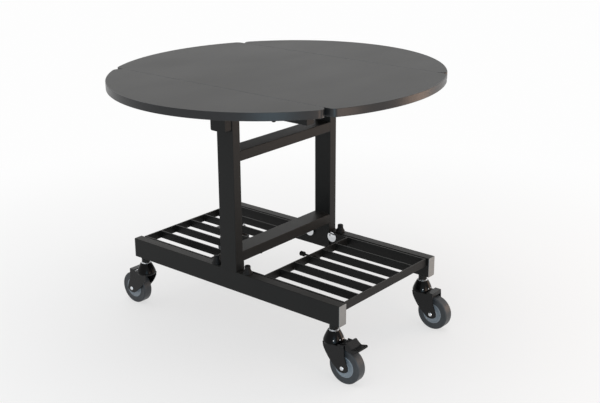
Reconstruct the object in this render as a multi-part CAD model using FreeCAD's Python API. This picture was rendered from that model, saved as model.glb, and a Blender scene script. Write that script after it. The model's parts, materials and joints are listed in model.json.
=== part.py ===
import FreeCAD, Part
import math
import os

Vector = FreeCAD.Vector

os.makedirs("parts", exist_ok=True)

# A drop-leaf service table on four swivel casters, in millimetres. It stands on z = 0. X runs
# along the two base rails, Y across them from the near side (-Y) to the far side (+Y), Z is up.
# The pieces are drawn at the near right corner and turned or mirrored to the others.

# ---------------------------------------------------------------- the top
table_height = 760.0
top_thickness = 22.0
top_half_length = 465.0          # the oval top, along X
top_half_width = 503.0           # the oval top, along Y
seam_distance = 260.0            # each seam between the middle and a leaf, from the centre
seam_gap = 0.8
seam_corner_radius = 20.0        # plan radius of the corners where a seam meets the rim
rim_round = 1.2

# ---------------------------------------------------------------- the welded tube frame
tube_depth = 60.0
tube_width = 30.0
tube_wall = 2.0
tube_corner_radius = 2.0
rail_half_length = 400.0         # over the end caps
rail_spacing = 430.0             # centre to centre, along Y
rail_underside = 160.5
top_bar_half_length = 291.0
top_bar_height = 45.0
bar_screw_inset = 21.0           # outer bar screw from the bar's end
lower_crossbar_rise = 25.0       # from the rails' top to the lower crossbar's underside
upper_crossbar_underside = 543.0
cap_flange = 1.5
cap_plug_gap = 1.0               # from a plug's end to the caster socket
cap_plug_wall = 2.5
pivot_plate_thickness = 4.0
pivot_plate_foot = 2.5           # from the rail's underside up to the plate's lower end

# ---------------------------------------------------------------- the folding shelves
shelf_bar_thickness = 5.0
shelf_bar_height = 24.0
shelf_recess = 1.0               # shelf bars below the rails' top
shelf_side_gap = 3.7             # shelf side bar to rail
shelf_slats = 5
shelf_end_inset = 8.5            # shelf's outer face inside the rails' ends
shelf_inner_bar_distance = 73.0  # from the upright's face to the shelf's inner cross bar
pivot_distance = 15.0            # from the upright's face to the shelf's pivot
fold_gap = 1.5                   # between the folded shelf and the crossbars
stop_gap = 0.3                   # between the shelf's square heel and the pivot plate
pivot_pin_radius = 5.0
pivot_head_radius = 16.0
pivot_head_flat_radius = 12.8
pivot_head_thickness = 2.5
pivot_head_rim = 1.25            # upright edge of the domed head
pivot_collar_radius = 9.0
pivot_tail = 6.0                 # pivot bolt's end inside the rail
side_play = 0.1
running_gap = 0.05               # radial play of every pin in its hole
buffer_head_radius = 7.5
buffer_head_length = 16.0
buffer_head_edge = 2.0
buffer_head_distance = 20.0      # from the upright's face to the head's near end
buffer_offset = 32.0             # of the buffer from the shelf's centre line
buffer_stud_radius = 3.0
buffer_stud_tail = 16.0
buffer_nut_radius = 5.5
buffer_nut_height = 5.0
buffer_drop = 3.0                # of the stud below the pivot's height

# ---------------------------------------------------------------- rubber bumpers on the rails
bumper_distance = 30.5           # from the upright's face to the bumper's axis
bumper_height = 24.5
bumper_top_radius = 8.8
bumper_base_radius = 14.0
bumper_skirt_height = 4.0
bumper_flare_height = 16.0       # where the flare meets the straight neck
bumper_crown_round = 3.0
bumper_crown_edge = 1.0

# ---------------------------------------------------------------- hinges of the leaves
hinge_pitch = 200.0
hinges_per_leaf = 4
hinge_plate_thickness = 2.5
hinge_plate_depth = 20.0
hinge_half_length = 30.0
hinge_knuckle_radius = 4.0
hinge_knuckle_drop = 0.5         # from the boards' underside to the knuckle
hinge_pin_radius = 2.0
hinge_leaf_relief = 4.6          # plate edge clear of the pin's axis
knuckle_play = 0.2
hinge_screw_radius = 2.0
hinge_screw_head_radius = 3.8
hinge_screw_head_height = 1.6
hinge_screw_spacing = 36.0
hinge_screw_bite = 12.0
bar_screw_radius = 3.0
bar_screw_head_radius = 5.5
bar_screw_head_height = 3.0
bar_screw_bite = 14.0
leaf_buffer_x = 292.0
leaf_buffer_y = 358.0
leaf_buffer_radius = 7.0
leaf_buffer_tip_radius = 5.0
leaf_buffer_height = 8.0
leaf_buffer_taper = 3.2

# ---------------------------------------------------------------- leaf supports
housing_half_length = 27.5
housing_depth = 25.5
housing_height = 80.0
housing_drop = 59.0              # its underside below the top bar's underside
housing_corner_radius = 5.0
arm_pivot_depth = 13.0           # from the upright's outer face to the pivot
arm_pivot_drop = 50.0            # below the boards' underside
arm_pin_radius = 5.0
arm_pin_head_radius = 8.0
arm_pin_head_height = 3.0
arm_length = 122.3
arm_cheek_thickness = 5.0
arm_eye_radius = 11.5
arm_tip_radius = 7.0
arm_tie_start = 62.0             # from the pivot, past the housing when the arm hangs
arm_tie_end = 92.0
arm_tie_thickness = 5.0
roller_radius = 8.0
roller_journal_radius = 3.5
contact_gap = 0.3                # between pieces of different bodies that nearly touch

# ---------------------------------------------------------------- casters
caster_inset = 29.5              # stem axis from the rail's end
socket_radius = 12.5
socket_drop = 15.0
socket_rise = 30.0
stem_radius = 6.0
stem_flange_radius = 15.0
stem_flange_height = 3.0
stem_nut_radius = 10.0
stem_nut_height = 8.0
crown_height = 31.5
crown_top_radius = 16.5
crown_radius = 29.0
crown_bulge = 1.2                # of its side, outside a plain cone
crown_skirt = 3.0
wheel_radius = 50.0
tyre_width = 30.0
tyre_shoulder = 4.0
hub_radius = 31.0
hub_width = 32.0
hub_web_width = 22.0
hub_rim_width = 4.0
hub_boss_radius = 13.0
hub_boss_draft = 2.0
wheel_trail = 46.0
fork_half_width = 23.8
fork_thickness = 3.0
fork_plate_thickness = 4.0
fork_plate_radius = 28.0
fork_nose = 20.5                 # leg's front edge ahead of the stem axis
fork_nose_drop = 12.5            # its straight stretch below the fork's top
fork_nose_lean = 2.0
fork_sweep = 4.5                 # bow of the front edge outside a straight line
fork_heel = 22.0                 # leg's foot ahead of the axle
fork_heel_drop = 3.0
fork_keel = 13.5                 # leg below the axle
fork_toe = 18.0                  # leg behind the axle
fork_toe_drop = 5.0
fork_toe_rise = 4.0
fork_waist = 6.5                 # back edge behind the axle, over the foot
fork_waist_rise = 35.0
hood_start = 31.0                # from the stem axis
hood_end = 50.5
hood_rise = 6.3                  # above the fork plate's top
hood_thickness = 3.0
hood_lip = 12.0
axle_radius = 6.0
axle_bolt_radius = 4.0
axle_head_radius = 6.0
axle_head_flat_radius = 3.8
axle_head_height = 4.0
axle_head_rim = 1.0
pedal_pivot_x = 42.0             # from the stem axis
pedal_pivot_drop = 0.7           # below the fork plate's top
pedal_journal_radius = 4.0
pedal_side_gap = 0.4
pedal_step_x = 55.5              # where the pedal widens behind the fork
pedal_corner = 5.0               # cut off the toe's corners, seen from above
# The pedal seen from the side, as distances behind the stem axis and above the fork's top: the
# top face back to the release ridge, down into the foot's dish, round the toe, and forwards
# along the underside.
pedal_outline = [(33, 0.5), (33, 6), (48, 7), (52, 9.5), (58.5, 17.3), (61, 15), (68, 8.5),
                 (74, 3.2), (84, 5), (93, 7), (99.5, 6), (98.5, 1.5), (88, -2.5), (80, -7),
                 (77, -9.5), (60, -7), (46, -7.5), (35, -7)]

# ---------------------------------------------------------------- derived places
board_underside = table_height - top_thickness
rail_top = rail_underside + tube_depth
rail_inner = rail_spacing / 2 - tube_width / 2
rail_outer = rail_spacing / 2 + tube_width / 2
upright_half = tube_depth / 2
top_bar_underside = board_underside - top_bar_height
lower_crossbar_underside = rail_top + lower_crossbar_rise
shelf_top = rail_top - shelf_recess
shelf_underside = shelf_top - shelf_bar_height
shelf_outer_face = rail_inner - shelf_side_gap
shelf_inner_face = shelf_outer_face - shelf_bar_thickness
shelf_end = rail_half_length - shelf_end_inset
shelf_inner_bar = upright_half + shelf_inner_bar_distance
pivot_x = upright_half + pivot_distance
pivot_z = shelf_top - (pivot_distance - fold_gap)
hinge_z = board_underside - hinge_knuckle_drop - hinge_knuckle_radius
arm_y = rail_outer + arm_pivot_depth
arm_z = board_underside - arm_pivot_drop
roller_z = board_underside - roller_radius - contact_gap
arm_angle = math.asin((roller_z - arm_z) / arm_length)
cheek_inner = housing_half_length + contact_gap
cheek_outer = cheek_inner + arm_cheek_thickness
caster_x = rail_half_length - caster_inset
cap_plug_depth = caster_inset - socket_radius - cap_flange - cap_plug_gap
caster_y = rail_spacing / 2
socket_end = rail_underside - socket_drop
crown_top = socket_end - stem_flange_height
crown_underside = crown_top - crown_height
fork_top = crown_underside - contact_gap
fork_plate_underside = fork_top - fork_plate_thickness
hood_top = fork_top + hood_rise
wheel_x = caster_x + wheel_trail
fork_inner = fork_half_width - fork_thickness
tolerance = 0.01                 # for telling edges apart by their extent


# ---------------------------------------------------------------- shape helpers
def box(x0, x1, y0, y1, z0, z1):
    """A block between two corners."""
    return Part.makeBox(x1 - x0, y1 - y0, z1 - z0, Vector(x0, y0, z0))


def rod(radius, start, end):
    """A round bar from one point to another."""
    along = end - start
    return Part.makeCylinder(radius, along.Length, start, along)


def turned(profile, origin, axis):
    """A turned piece: profile points are (radius, distance along axis) from origin."""
    side = Vector(0, 0, 1).cross(axis)
    if side.Length < 0.5:
        side = Vector(1, 0, 0)
    points = [origin + side * radius + axis * distance for radius, distance in profile]
    face = Part.Face(Part.makePolygon(points + [points[0]]))
    return face.revolve(origin, axis, 360)


def plate(outline, depth):
    """A flat plate: a closed outline of points, pushed along the vector depth."""
    return Part.Face(Part.makePolygon(outline + [outline[0]])).extrude(depth)


def tube(start, end, size_u, size_v, axis):
    """Rectangular tube along X, Y or Z with rounded long edges, open at both ends.

    start and end are the centre points of its two ends; size_u and size_v are its outer sizes
    along the two other directions, in X, Y, Z order."""
    wall = Vector(tube_wall, tube_wall, tube_wall)
    half = {"X": Vector(0, size_u / 2, size_v / 2),
            "Y": Vector(size_u / 2, 0, size_v / 2),
            "Z": Vector(size_u / 2, size_v / 2, 0)}[axis]
    inner = {"X": Vector(0, wall.y, wall.z), "Y": Vector(wall.x, 0, wall.z),
             "Z": Vector(wall.x, wall.y, 0)}[axis]
    solids = []
    for reach in (half, half - inner):
        low = start - reach
        high = end + reach
        solids.append(box(low.x, high.x, low.y, high.y, low.z, high.z))
    return round_long_edges(solids[0], tube_corner_radius, axis).cut(solids[1])


def round_long_edges(shape, radius, axis):
    """Round the straight edges of a shape that run along one axis."""
    direction = {"X": Vector(1, 0, 0), "Y": Vector(0, 1, 0), "Z": Vector(0, 0, 1)}[axis]
    edges = []
    for edge in shape.Edges:
        if edge.Curve.TypeId == "Part::GeomLine":
            run = edge.Vertexes[1].Point - edge.Vertexes[0].Point
            if run.normalize().cross(direction).Length < 1e-6:
                edges.append(edge)
    return shape.makeFillet(radius, edges)


def flip_x(shape):
    """The same piece on the other side of the plane x = 0."""
    return shape.mirror(Vector(0, 0, 0), Vector(1, 0, 0))


def flip_y(shape):
    """The same piece on the other side of the plane y = 0."""
    return shape.mirror(Vector(0, 0, 0), Vector(0, 1, 0))


def half_turn(shape):
    """The same piece turned half round about the table's upright centre line."""
    return shape.copy().rotate(Vector(0, 0, 0), Vector(0, 0, 1), 180)


def four_corners(shape):
    """A near right piece repeated at all four corners, as separate solids."""
    pair = [shape, flip_x(shape)]
    return Part.makeCompound(pair + [flip_y(piece) for piece in pair])


def near_and_far(shape):
    """A near piece and its twin on the far side, as separate solids."""
    return Part.makeCompound([shape, flip_y(shape)])


def save(name, shape):
    """Write one piece, or one group of identical pieces, to its own file."""
    shape.exportStep("parts/" + name + ".step")
    print("%-24s %2d solids" % (name, len(shape.Solids)))


# ---------------------------------------------------------------- frame tubes
def near_rail():
    """Base rail with holes for its two caster sockets and two shelf pivots."""
    reach = rail_half_length - cap_flange
    middle = rail_underside + tube_depth / 2
    shape = tube(Vector(-reach, -caster_y, middle), Vector(reach, -caster_y, middle),
                 tube_width, tube_depth, "X")
    for side in (-1, 1):
        socket_foot = Vector(side * caster_x, -caster_y, rail_underside)
        shape = shape.cut(rod(socket_radius, socket_foot, socket_foot + Vector(0, 0, tube_wall)))
        hole_face = Vector(side * pivot_x, -rail_inner, pivot_z)
        shape = shape.cut(rod(pivot_pin_radius, hole_face, hole_face - Vector(0, tube_wall, 0)))
    return shape


def near_upright():
    """Post from the rail up to the top bar."""
    return tube(Vector(0, -caster_y, rail_top), Vector(0, -caster_y, top_bar_underside),
                tube_depth, tube_width, "Z")


def crossbar(underside):
    """Tube lying flat between the two uprights."""
    middle = underside + tube_width / 2
    return tube(Vector(0, -rail_inner, middle), Vector(0, rail_inner, middle),
                tube_depth, tube_width, "Y")


def bar_screw_places():
    """Where the top bar is screwed to the middle board, along X."""
    outer = top_bar_half_length - bar_screw_inset
    inner = (upright_half + outer) / 2
    return [-outer, -inner, inner, outer]


def near_top_bar():
    """Bar that carries the middle board, bored right through for its screws."""
    reach = top_bar_half_length - cap_flange
    middle = top_bar_underside + top_bar_height / 2
    shape = tube(Vector(-reach, -caster_y, middle), Vector(reach, -caster_y, middle),
                 tube_width, top_bar_height, "X")
    for x in bar_screw_places():
        foot = Vector(x, -caster_y, top_bar_underside)
        shape = shape.cut(rod(bar_screw_radius, foot, foot + Vector(0, 0, top_bar_height)))
    return shape


def end_cap(tube_end, height, underside):
    """Plastic cap: a flange over the tube's end and a hollow plug inside it."""
    y0 = -rail_outer
    y1 = -rail_inner
    flange = box(tube_end - cap_flange, tube_end, y0, y1, underside, underside + height)
    flange = round_long_edges(flange, tube_corner_radius, "X")
    plug_end = tube_end - cap_flange - cap_plug_depth
    inset = tube_wall
    plug = box(plug_end, tube_end - cap_flange, y0 + inset, y1 - inset,
               underside + inset, underside + height - inset)
    inset = tube_wall + cap_plug_wall
    hollow = box(plug_end, tube_end - cap_flange, y0 + inset, y1 - inset,
                 underside + inset, underside + height - inset)
    return flange.fuse(plug.cut(hollow))


def near_pivot_plate():
    """Plate inside the rail, under the lower crossbar; the shelves' heels rest on its edges."""
    return box(-upright_half, upright_half, -rail_inner, -rail_inner + pivot_plate_thickness,
               rail_underside + pivot_plate_foot, lower_crossbar_underside)


def pivot_bolt():
    """Shoulder bolt that a shelf side bar turns on: head, shank, spacer collar and tail."""
    head_face = shelf_inner_face - side_play
    collar_face = shelf_outer_face + side_play
    profile = [(0, -head_face + pivot_head_thickness),
               (pivot_head_flat_radius, -head_face + pivot_head_thickness),
               (pivot_head_radius, -head_face + pivot_head_rim),
               (pivot_head_radius, -head_face),
               (pivot_pin_radius, -head_face),
               (pivot_pin_radius, -collar_face),
               (pivot_collar_radius, -collar_face),
               (pivot_collar_radius, -rail_inner),
               (pivot_pin_radius, -rail_inner),
               (pivot_pin_radius, -rail_inner - pivot_tail),
               (0, -rail_inner - pivot_tail)]
    return turned(profile, Vector(pivot_x, 0, pivot_z), Vector(0, 1, 0))


def rail_bumper():
    """Bell-shaped rubber bumper: a skirt on the rail, a flare and a straight neck."""
    profile = [(0, rail_top),
               (bumper_base_radius, rail_top),
               (bumper_base_radius, rail_top + bumper_skirt_height),
               (bumper_top_radius, rail_top + bumper_flare_height),
               (bumper_top_radius, rail_top + bumper_height - bumper_crown_round),
               (bumper_top_radius - bumper_crown_edge,
                rail_top + bumper_height - bumper_crown_edge),
               (bumper_top_radius - bumper_crown_round, rail_top + bumper_height),
               (0, rail_top + bumper_height)]
    return turned(profile, Vector(upright_half + bumper_distance, -caster_y, 0), Vector(0, 0, 1))


def housing():
    """Block on the upright's outer face that carries the support arm's pivot."""
    foot = top_bar_underside - housing_drop
    shape = box(-housing_half_length, housing_half_length, -rail_outer - housing_depth, -rail_outer,
                foot, foot + housing_height)
    lower_edges = [edge for edge in shape.Edges
                   if edge.BoundBox.YLength > housing_depth - tolerance
                   and edge.CenterOfMass.z < foot + tolerance]
    shape = shape.makeFillet(housing_corner_radius, lower_edges)
    return shape.cut(rod(arm_pin_radius, Vector(-cheek_outer, -arm_y, arm_z),
                         Vector(cheek_outer, -arm_y, arm_z)))


def arm_pin():
    """Pin through the housing, with a head outside each cheek of the arm."""
    shape = rod(arm_pin_radius, Vector(-cheek_outer, -arm_y, arm_z),
                Vector(cheek_outer, -arm_y, arm_z))
    for side in (-1, 1):
        face = Vector(side * (cheek_outer + side_play), -arm_y, arm_z)
        head_top = face + Vector(side * arm_pin_head_height, 0, 0)
        neck = Vector(side * cheek_inner, -arm_y, arm_z)
        shape = shape.fuse(rod(arm_pin_radius, neck, face))
        shape = shape.fuse(rod(arm_pin_head_radius, face, head_top))
    return shape


# ---------------------------------------------------------------- boards
def oval_board():
    """The whole oval top as one board, before it is sawn along the seams."""
    centre = Vector(0, 0, board_underside)
    reaches = [Vector(0, top_half_width, 0), Vector(top_half_length, 0, 0)]
    longer, shorter = sorted(reaches, key=lambda reach: -reach.Length)
    ellipse = Part.Ellipse(centre + longer, centre + shorter, centre)
    return Part.Face(Part.Wire(ellipse.toShape())).extrude(Vector(0, 0, top_thickness))


def rounded_board(y0, y1):
    """The strip of the oval between two seams, with rounded corners and rim."""
    reach = 2 * top_half_length
    strip = oval_board().common(box(-reach, reach, y0, y1, board_underside, table_height))
    corners = [edge for edge in strip.Edges if edge.BoundBox.XLength < tolerance
               and edge.BoundBox.ZLength > top_thickness - tolerance]
    strip = strip.makeFillet(seam_corner_radius, corners)
    rim = [edge for edge in strip.Edges if edge.BoundBox.ZLength < tolerance]
    return strip.makeFillet(rim_round, rim)


def hinge_places():
    """The hinges' middles along X."""
    first = -(hinges_per_leaf - 1) / 2 * hinge_pitch
    return [first + index * hinge_pitch for index in range(hinges_per_leaf)]


def hinge_screw_places(side):
    """Feet of the hinge screws; side is +1 on the leaf's plates and -1 on the middle's."""
    y = -seam_distance - side * (hinge_leaf_relief + hinge_plate_depth / 2)
    z = board_underside - hinge_plate_thickness
    return [Vector(x + end * hinge_screw_spacing / 2, y, z) for x in hinge_places()
            for end in (-1, 1)]


def hinge_screw(foot):
    """Pan-head screw up through a hinge plate into the board."""
    head = rod(hinge_screw_head_radius, foot - Vector(0, 0, hinge_screw_head_height), foot)
    bite = Vector(0, 0, hinge_plate_thickness + hinge_screw_bite)
    return head.fuse(rod(hinge_screw_radius, foot, foot + bite))


def bar_screw(x):
    """Long screw up through the top bar into the middle board."""
    foot = Vector(x, -caster_y, top_bar_underside)
    head = rod(bar_screw_head_radius, foot - Vector(0, 0, bar_screw_head_height), foot)
    bite = Vector(0, 0, top_bar_height + bar_screw_bite)
    return head.fuse(rod(bar_screw_radius, foot, foot + bite))


def near_middle_screws():
    """All screws into the near half of the middle board."""
    screws = [hinge_screw(foot) for foot in hinge_screw_places(-1)]
    return screws + [bar_screw(x) for x in bar_screw_places()]


def near_leaf_screws():
    """The screws of the near leaf's hinge plates."""
    return [hinge_screw(foot) for foot in hinge_screw_places(1)]


def hinge_plate(x, side):
    """One plate of a butt hinge: side +1 is the leaf's, with the middle knuckle."""
    z0 = board_underside - hinge_plate_thickness
    third = hinge_half_length / 3
    near_edge = -seam_distance - side * (hinge_leaf_relief + hinge_plate_depth)
    pin_edge = -seam_distance - side * hinge_leaf_relief
    y0 = min(near_edge, pin_edge)
    shape = box(x - hinge_half_length, x + hinge_half_length, y0, y0 + hinge_plate_depth,
                z0, board_underside)
    spans = [(-third + knuckle_play, third - knuckle_play)]
    bore = hinge_pin_radius + running_gap
    if side < 0:
        spans = [(-hinge_half_length, -third), (third, hinge_half_length)]
        bore = hinge_pin_radius
    for low, high in spans:
        start = Vector(x + low, -seam_distance, hinge_z)
        end = Vector(x + high, -seam_distance, hinge_z)
        tongue = box(start.x, end.x, min(pin_edge, -seam_distance), max(pin_edge, -seam_distance),
                     z0, board_underside)
        shape = shape.fuse(tongue.fuse(rod(hinge_knuckle_radius, start, end)))
        shape = shape.cut(rod(bore, start, end))
    for foot in hinge_screw_places(side):
        shape = shape.cut(rod(hinge_screw_radius, foot, foot + Vector(0, 0, hinge_plate_thickness)))
    return shape


def hinge_pin(x):
    """Pin through the knuckles of one hinge."""
    return rod(hinge_pin_radius, Vector(x - hinge_half_length, -seam_distance, hinge_z),
               Vector(x + hinge_half_length, -seam_distance, hinge_z))


def leaf_buffer(side):
    """Small rubber buffer under a leaf."""
    foot = Vector(side * leaf_buffer_x, -leaf_buffer_y, board_underside)
    profile = [(0, 0), (leaf_buffer_radius, 0),
               (leaf_buffer_radius, leaf_buffer_taper - leaf_buffer_height),
               (leaf_buffer_tip_radius, -leaf_buffer_height), (0, -leaf_buffer_height)]
    return turned(profile, foot, Vector(0, 0, 1))


# ---------------------------------------------------------------- leaf supports
def along_arm(distance, across):
    """A point of the near support arm in its rest position, in the YZ plane through x = 0."""
    outwards = Vector(0, -math.cos(arm_angle), math.sin(arm_angle))
    upwards = Vector(0, math.sin(arm_angle), math.cos(arm_angle))
    return Vector(0, -arm_y, arm_z) + outwards * distance + upwards * across


def support_arm():
    """Yoke: two cheeks astride the housing, joined by a tie plate between them."""
    thickness = Vector(arm_cheek_thickness, 0, 0)
    tie_half = arm_tie_thickness / 2
    corners = [along_arm(arm_tie_start, -tie_half), along_arm(arm_tie_end, -tie_half),
               along_arm(arm_tie_end, tie_half), along_arm(arm_tie_start, tie_half)]
    reach = Vector(cheek_inner, 0, 0)
    shape = plate([point - reach for point in corners], reach * 2)
    pin_axis = along_arm(0, 0)
    roller_axis = along_arm(arm_length, 0)
    for start in (reach, -reach - thickness):
        end = start + thickness
        outline = [along_arm(0, -arm_eye_radius), along_arm(arm_length, -arm_tip_radius),
                   along_arm(arm_length, arm_tip_radius), along_arm(0, arm_eye_radius)]
        cheek = plate([point + start for point in outline], thickness)
        cheek = cheek.fuse(rod(arm_eye_radius, pin_axis + start, pin_axis + end))
        cheek = cheek.fuse(rod(arm_tip_radius, roller_axis + start, roller_axis + end))
        cheek = cheek.cut(rod(arm_pin_radius + running_gap, pin_axis + start, pin_axis + end))
        cheek = cheek.cut(rod(roller_journal_radius + running_gap,
                              roller_axis + start, roller_axis + end))
        shape = shape.fuse(cheek)
    return shape


def support_roller():
    """Roller under the leaf, with a journal at each end in the arm's cheeks."""
    centre = along_arm(arm_length, 0)
    barrel = Vector(cheek_inner - side_play, 0, 0)
    journal = Vector(cheek_outer, 0, 0)
    shape = rod(roller_radius, centre - barrel, centre + barrel)
    return shape.fuse(rod(roller_journal_radius, centre - journal, centre + journal))


# ---------------------------------------------------------------- right shelf
def shelf_side_bar():
    """Near side bar: round-shouldered at the pivot, with a square heel that stops on the plate."""
    heel = pivot_distance - stop_gap
    rise = shelf_top - pivot_z
    shoulder_x = math.sqrt(heel ** 2 - rise ** 2)
    lean = math.pi - math.asin(rise / heel) / 2
    y = -shelf_outer_face
    heel_point = Vector(pivot_x - heel, y, pivot_z)
    mid_point = Vector(pivot_x + heel * math.cos(lean), y, pivot_z + heel * math.sin(lean))
    shoulder = Vector(pivot_x - shoulder_x, y, shelf_top)
    end_x = shelf_end - shelf_bar_thickness
    corners = [shoulder, Vector(end_x, y, shelf_top), Vector(end_x, y, shelf_underside),
               Vector(pivot_x - heel, y, shelf_underside), heel_point]
    edges = [Part.LineSegment(start, end).toShape() for start, end in zip(corners, corners[1:])]
    edges.append(Part.Arc(heel_point, mid_point, shoulder).toShape())
    bar = Part.Face(Part.Wire(edges)).extrude(Vector(0, shelf_bar_thickness, 0))
    centre = Vector(pivot_x, y, pivot_z)
    return bar.cut(rod(pivot_pin_radius + running_gap, centre,
                       centre + Vector(0, shelf_bar_thickness, 0)))


def shelf_end_bars():
    """Inner cross bar between the side bars, and outer cross bar over their ends."""
    inner = box(shelf_inner_bar, shelf_inner_bar + shelf_bar_thickness,
                -shelf_inner_face, shelf_inner_face, shelf_underside, shelf_top)
    stud = Vector(shelf_inner_bar, buffer_offset, pivot_z - buffer_drop)
    inner = inner.cut(rod(buffer_stud_radius, stud, stud + Vector(shelf_bar_thickness, 0, 0)))
    outer = box(shelf_end - shelf_bar_thickness, shelf_end,
                -shelf_outer_face, shelf_outer_face, shelf_underside, shelf_top)
    return Part.makeCompound([inner, outer])


def shelf_slat_bars():
    """Slats evenly spaced between the side bars."""
    side_centre = shelf_outer_face - shelf_bar_thickness / 2
    pitch = 2 * side_centre / (shelf_slats + 1)
    slats = []
    for index in range(shelf_slats):
        y = -side_centre + (index + 1) * pitch - shelf_bar_thickness / 2
        slats.append(box(shelf_inner_bar + shelf_bar_thickness, shelf_end - shelf_bar_thickness,
                         y, y + shelf_bar_thickness, shelf_underside, shelf_top))
    return Part.makeCompound(slats)


def shelf_stop():
    """Rubber buffer head on a threaded stud, locked to the inner bar by two nuts."""
    axis = Vector(1, 0, 0)
    origin = Vector(0, buffer_offset, pivot_z - buffer_drop)
    head_start = upright_half + buffer_head_distance
    head_end = head_start + buffer_head_length
    rim = buffer_head_radius - buffer_head_edge
    head = turned([(0, head_start), (rim, head_start),
                   (buffer_head_radius, head_start + buffer_head_edge),
                   (buffer_head_radius, head_end - buffer_head_edge),
                   (rim, head_end), (0, head_end)], origin, axis)
    bar_end = shelf_inner_bar + shelf_bar_thickness
    stud = turned([(0, head_end), (buffer_stud_radius, head_end),
                   (buffer_stud_radius, shelf_inner_bar - buffer_nut_height),
                   (buffer_nut_radius, shelf_inner_bar - buffer_nut_height),
                   (buffer_nut_radius, shelf_inner_bar),
                   (buffer_stud_radius, shelf_inner_bar),
                   (buffer_stud_radius, bar_end),
                   (buffer_nut_radius, bar_end),
                   (buffer_nut_radius, bar_end + buffer_nut_height),
                   (buffer_stud_radius, bar_end + buffer_nut_height),
                   (buffer_stud_radius, bar_end + buffer_stud_tail),
                   (0, bar_end + buffer_stud_tail)], origin, axis)
    return Part.makeCompound([head, stud])


# ---------------------------------------------------------------- near right caster
def caster_point(behind, across, height):
    """A point given from the near right caster's stem axis and the floor."""
    return Vector(caster_x + behind, -caster_y + across, height)


def caster_socket():
    """Bush welded through the rail's lower wall, bored for the caster's stem."""
    foot = caster_point(0, 0, socket_end)
    head = caster_point(0, 0, rail_underside + socket_rise)
    return rod(socket_radius, foot, head).cut(rod(stem_radius, foot, head))


def caster_stem():
    """Stem: shank in the socket, bright flange below it, kingpin and nut under the fork."""
    nut_top = fork_plate_underside - contact_gap
    top = rail_underside + socket_rise
    profile = [(0, nut_top - stem_nut_height), (stem_nut_radius, nut_top - stem_nut_height),
               (stem_nut_radius, nut_top), (stem_radius, nut_top), (stem_radius, crown_top),
               (stem_flange_radius, crown_top), (stem_flange_radius, socket_end),
               (stem_radius, socket_end), (stem_radius, top), (0, top)]
    return turned(profile, caster_point(0, 0, 0), Vector(0, 0, 1))


def caster_crown():
    """Domed ball-race cover, fixed under the stem's flange."""
    shoulder = caster_point(crown_radius, 0, crown_underside + crown_skirt)
    neck = caster_point(crown_top_radius, 0, crown_top)
    outwards = Vector(0, 1, 0).cross(neck - shoulder).normalize()
    edges = [Part.Arc(shoulder, (shoulder + neck) / 2 + outwards * crown_bulge, neck).toShape()]
    corners = [neck, caster_point(stem_radius, 0, crown_top),
               caster_point(stem_radius, 0, crown_underside),
               caster_point(crown_radius, 0, crown_underside), shoulder]
    edges += [Part.LineSegment(a, b).toShape() for a, b in zip(corners, corners[1:])]
    return Part.Face(Part.Wire(edges)).revolve(caster_point(0, 0, 0), Vector(0, 0, 1), 360)


def fork_leg(across, braked):
    """One pressed leg: straight nose, a front edge swept back, round keel under the axle."""
    def spot(behind, height):
        return caster_point(behind, across, height)

    nose = spot(-fork_nose, fork_top)
    back = [nose, spot(hood_start, fork_top), spot(hood_start, hood_top),
            spot(hood_end, hood_top), spot(wheel_trail + fork_waist, wheel_radius + fork_waist_rise),
            spot(wheel_trail + fork_toe, wheel_radius + fork_toe_rise),
            spot(wheel_trail + fork_toe, wheel_radius - fork_toe_drop)]
    keel = spot(wheel_trail, wheel_radius - fork_keel)
    heel = spot(wheel_trail - fork_heel, wheel_radius - fork_heel_drop)
    chin = spot(fork_nose_lean - fork_nose, fork_top - fork_nose_drop)
    outwards = Vector(0, 1, 0).cross(heel - chin).normalize()
    bow = (heel + chin) / 2 + outwards * fork_sweep
    edges = [Part.LineSegment(a, b).toShape() for a, b in zip(back, back[1:])]
    edges.append(Part.Arc(back[-1], keel, heel).toShape())
    edges.append(Part.Arc(heel, bow, chin).toShape())
    edges.append(Part.LineSegment(chin, nose).toShape())
    leg = Part.Face(Part.Wire(edges)).extrude(Vector(0, fork_thickness, 0))
    axle = spot(wheel_trail, wheel_radius)
    leg = leg.cut(rod(axle_bolt_radius, axle, axle + Vector(0, fork_thickness, 0)))
    if braked:
        pivot = spot(pedal_pivot_x, fork_top - pedal_pivot_drop)
        leg = leg.cut(rod(pedal_journal_radius + running_gap, pivot,
                          pivot + Vector(0, fork_thickness, 0)))
    return leg


def fork_hood():
    """Roof and back wall between the legs of a fork without a brake."""
    low = caster_point(hood_start, -fork_half_width, hood_top - hood_lip)
    high = caster_point(hood_end, fork_half_width, hood_top)
    roof = box(low.x, high.x, low.y, high.y, high.z - hood_thickness, high.z)
    return roof.fuse(box(high.x - hood_thickness, high.x, low.y, high.y, low.z, high.z))


def caster_fork(braked):
    """Pressed fork: round top plate, two legs swept back to the axle, and a hood behind."""
    foot = caster_point(0, 0, fork_plate_underside)
    head = caster_point(0, 0, fork_top)
    shape = rod(fork_plate_radius, foot, head)
    shape = shape.fuse(fork_leg(-fork_half_width, braked)).fuse(fork_leg(fork_inner, braked))
    if not braked:
        shape = shape.fuse(fork_hood())
    return shape.cut(rod(stem_radius + running_gap, foot, head))


def wheel_turned(profile):
    """A piece turned about the near right wheel's axle."""
    return turned(profile, Vector(wheel_x, -caster_y, wheel_radius), Vector(0, 1, 0))


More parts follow.
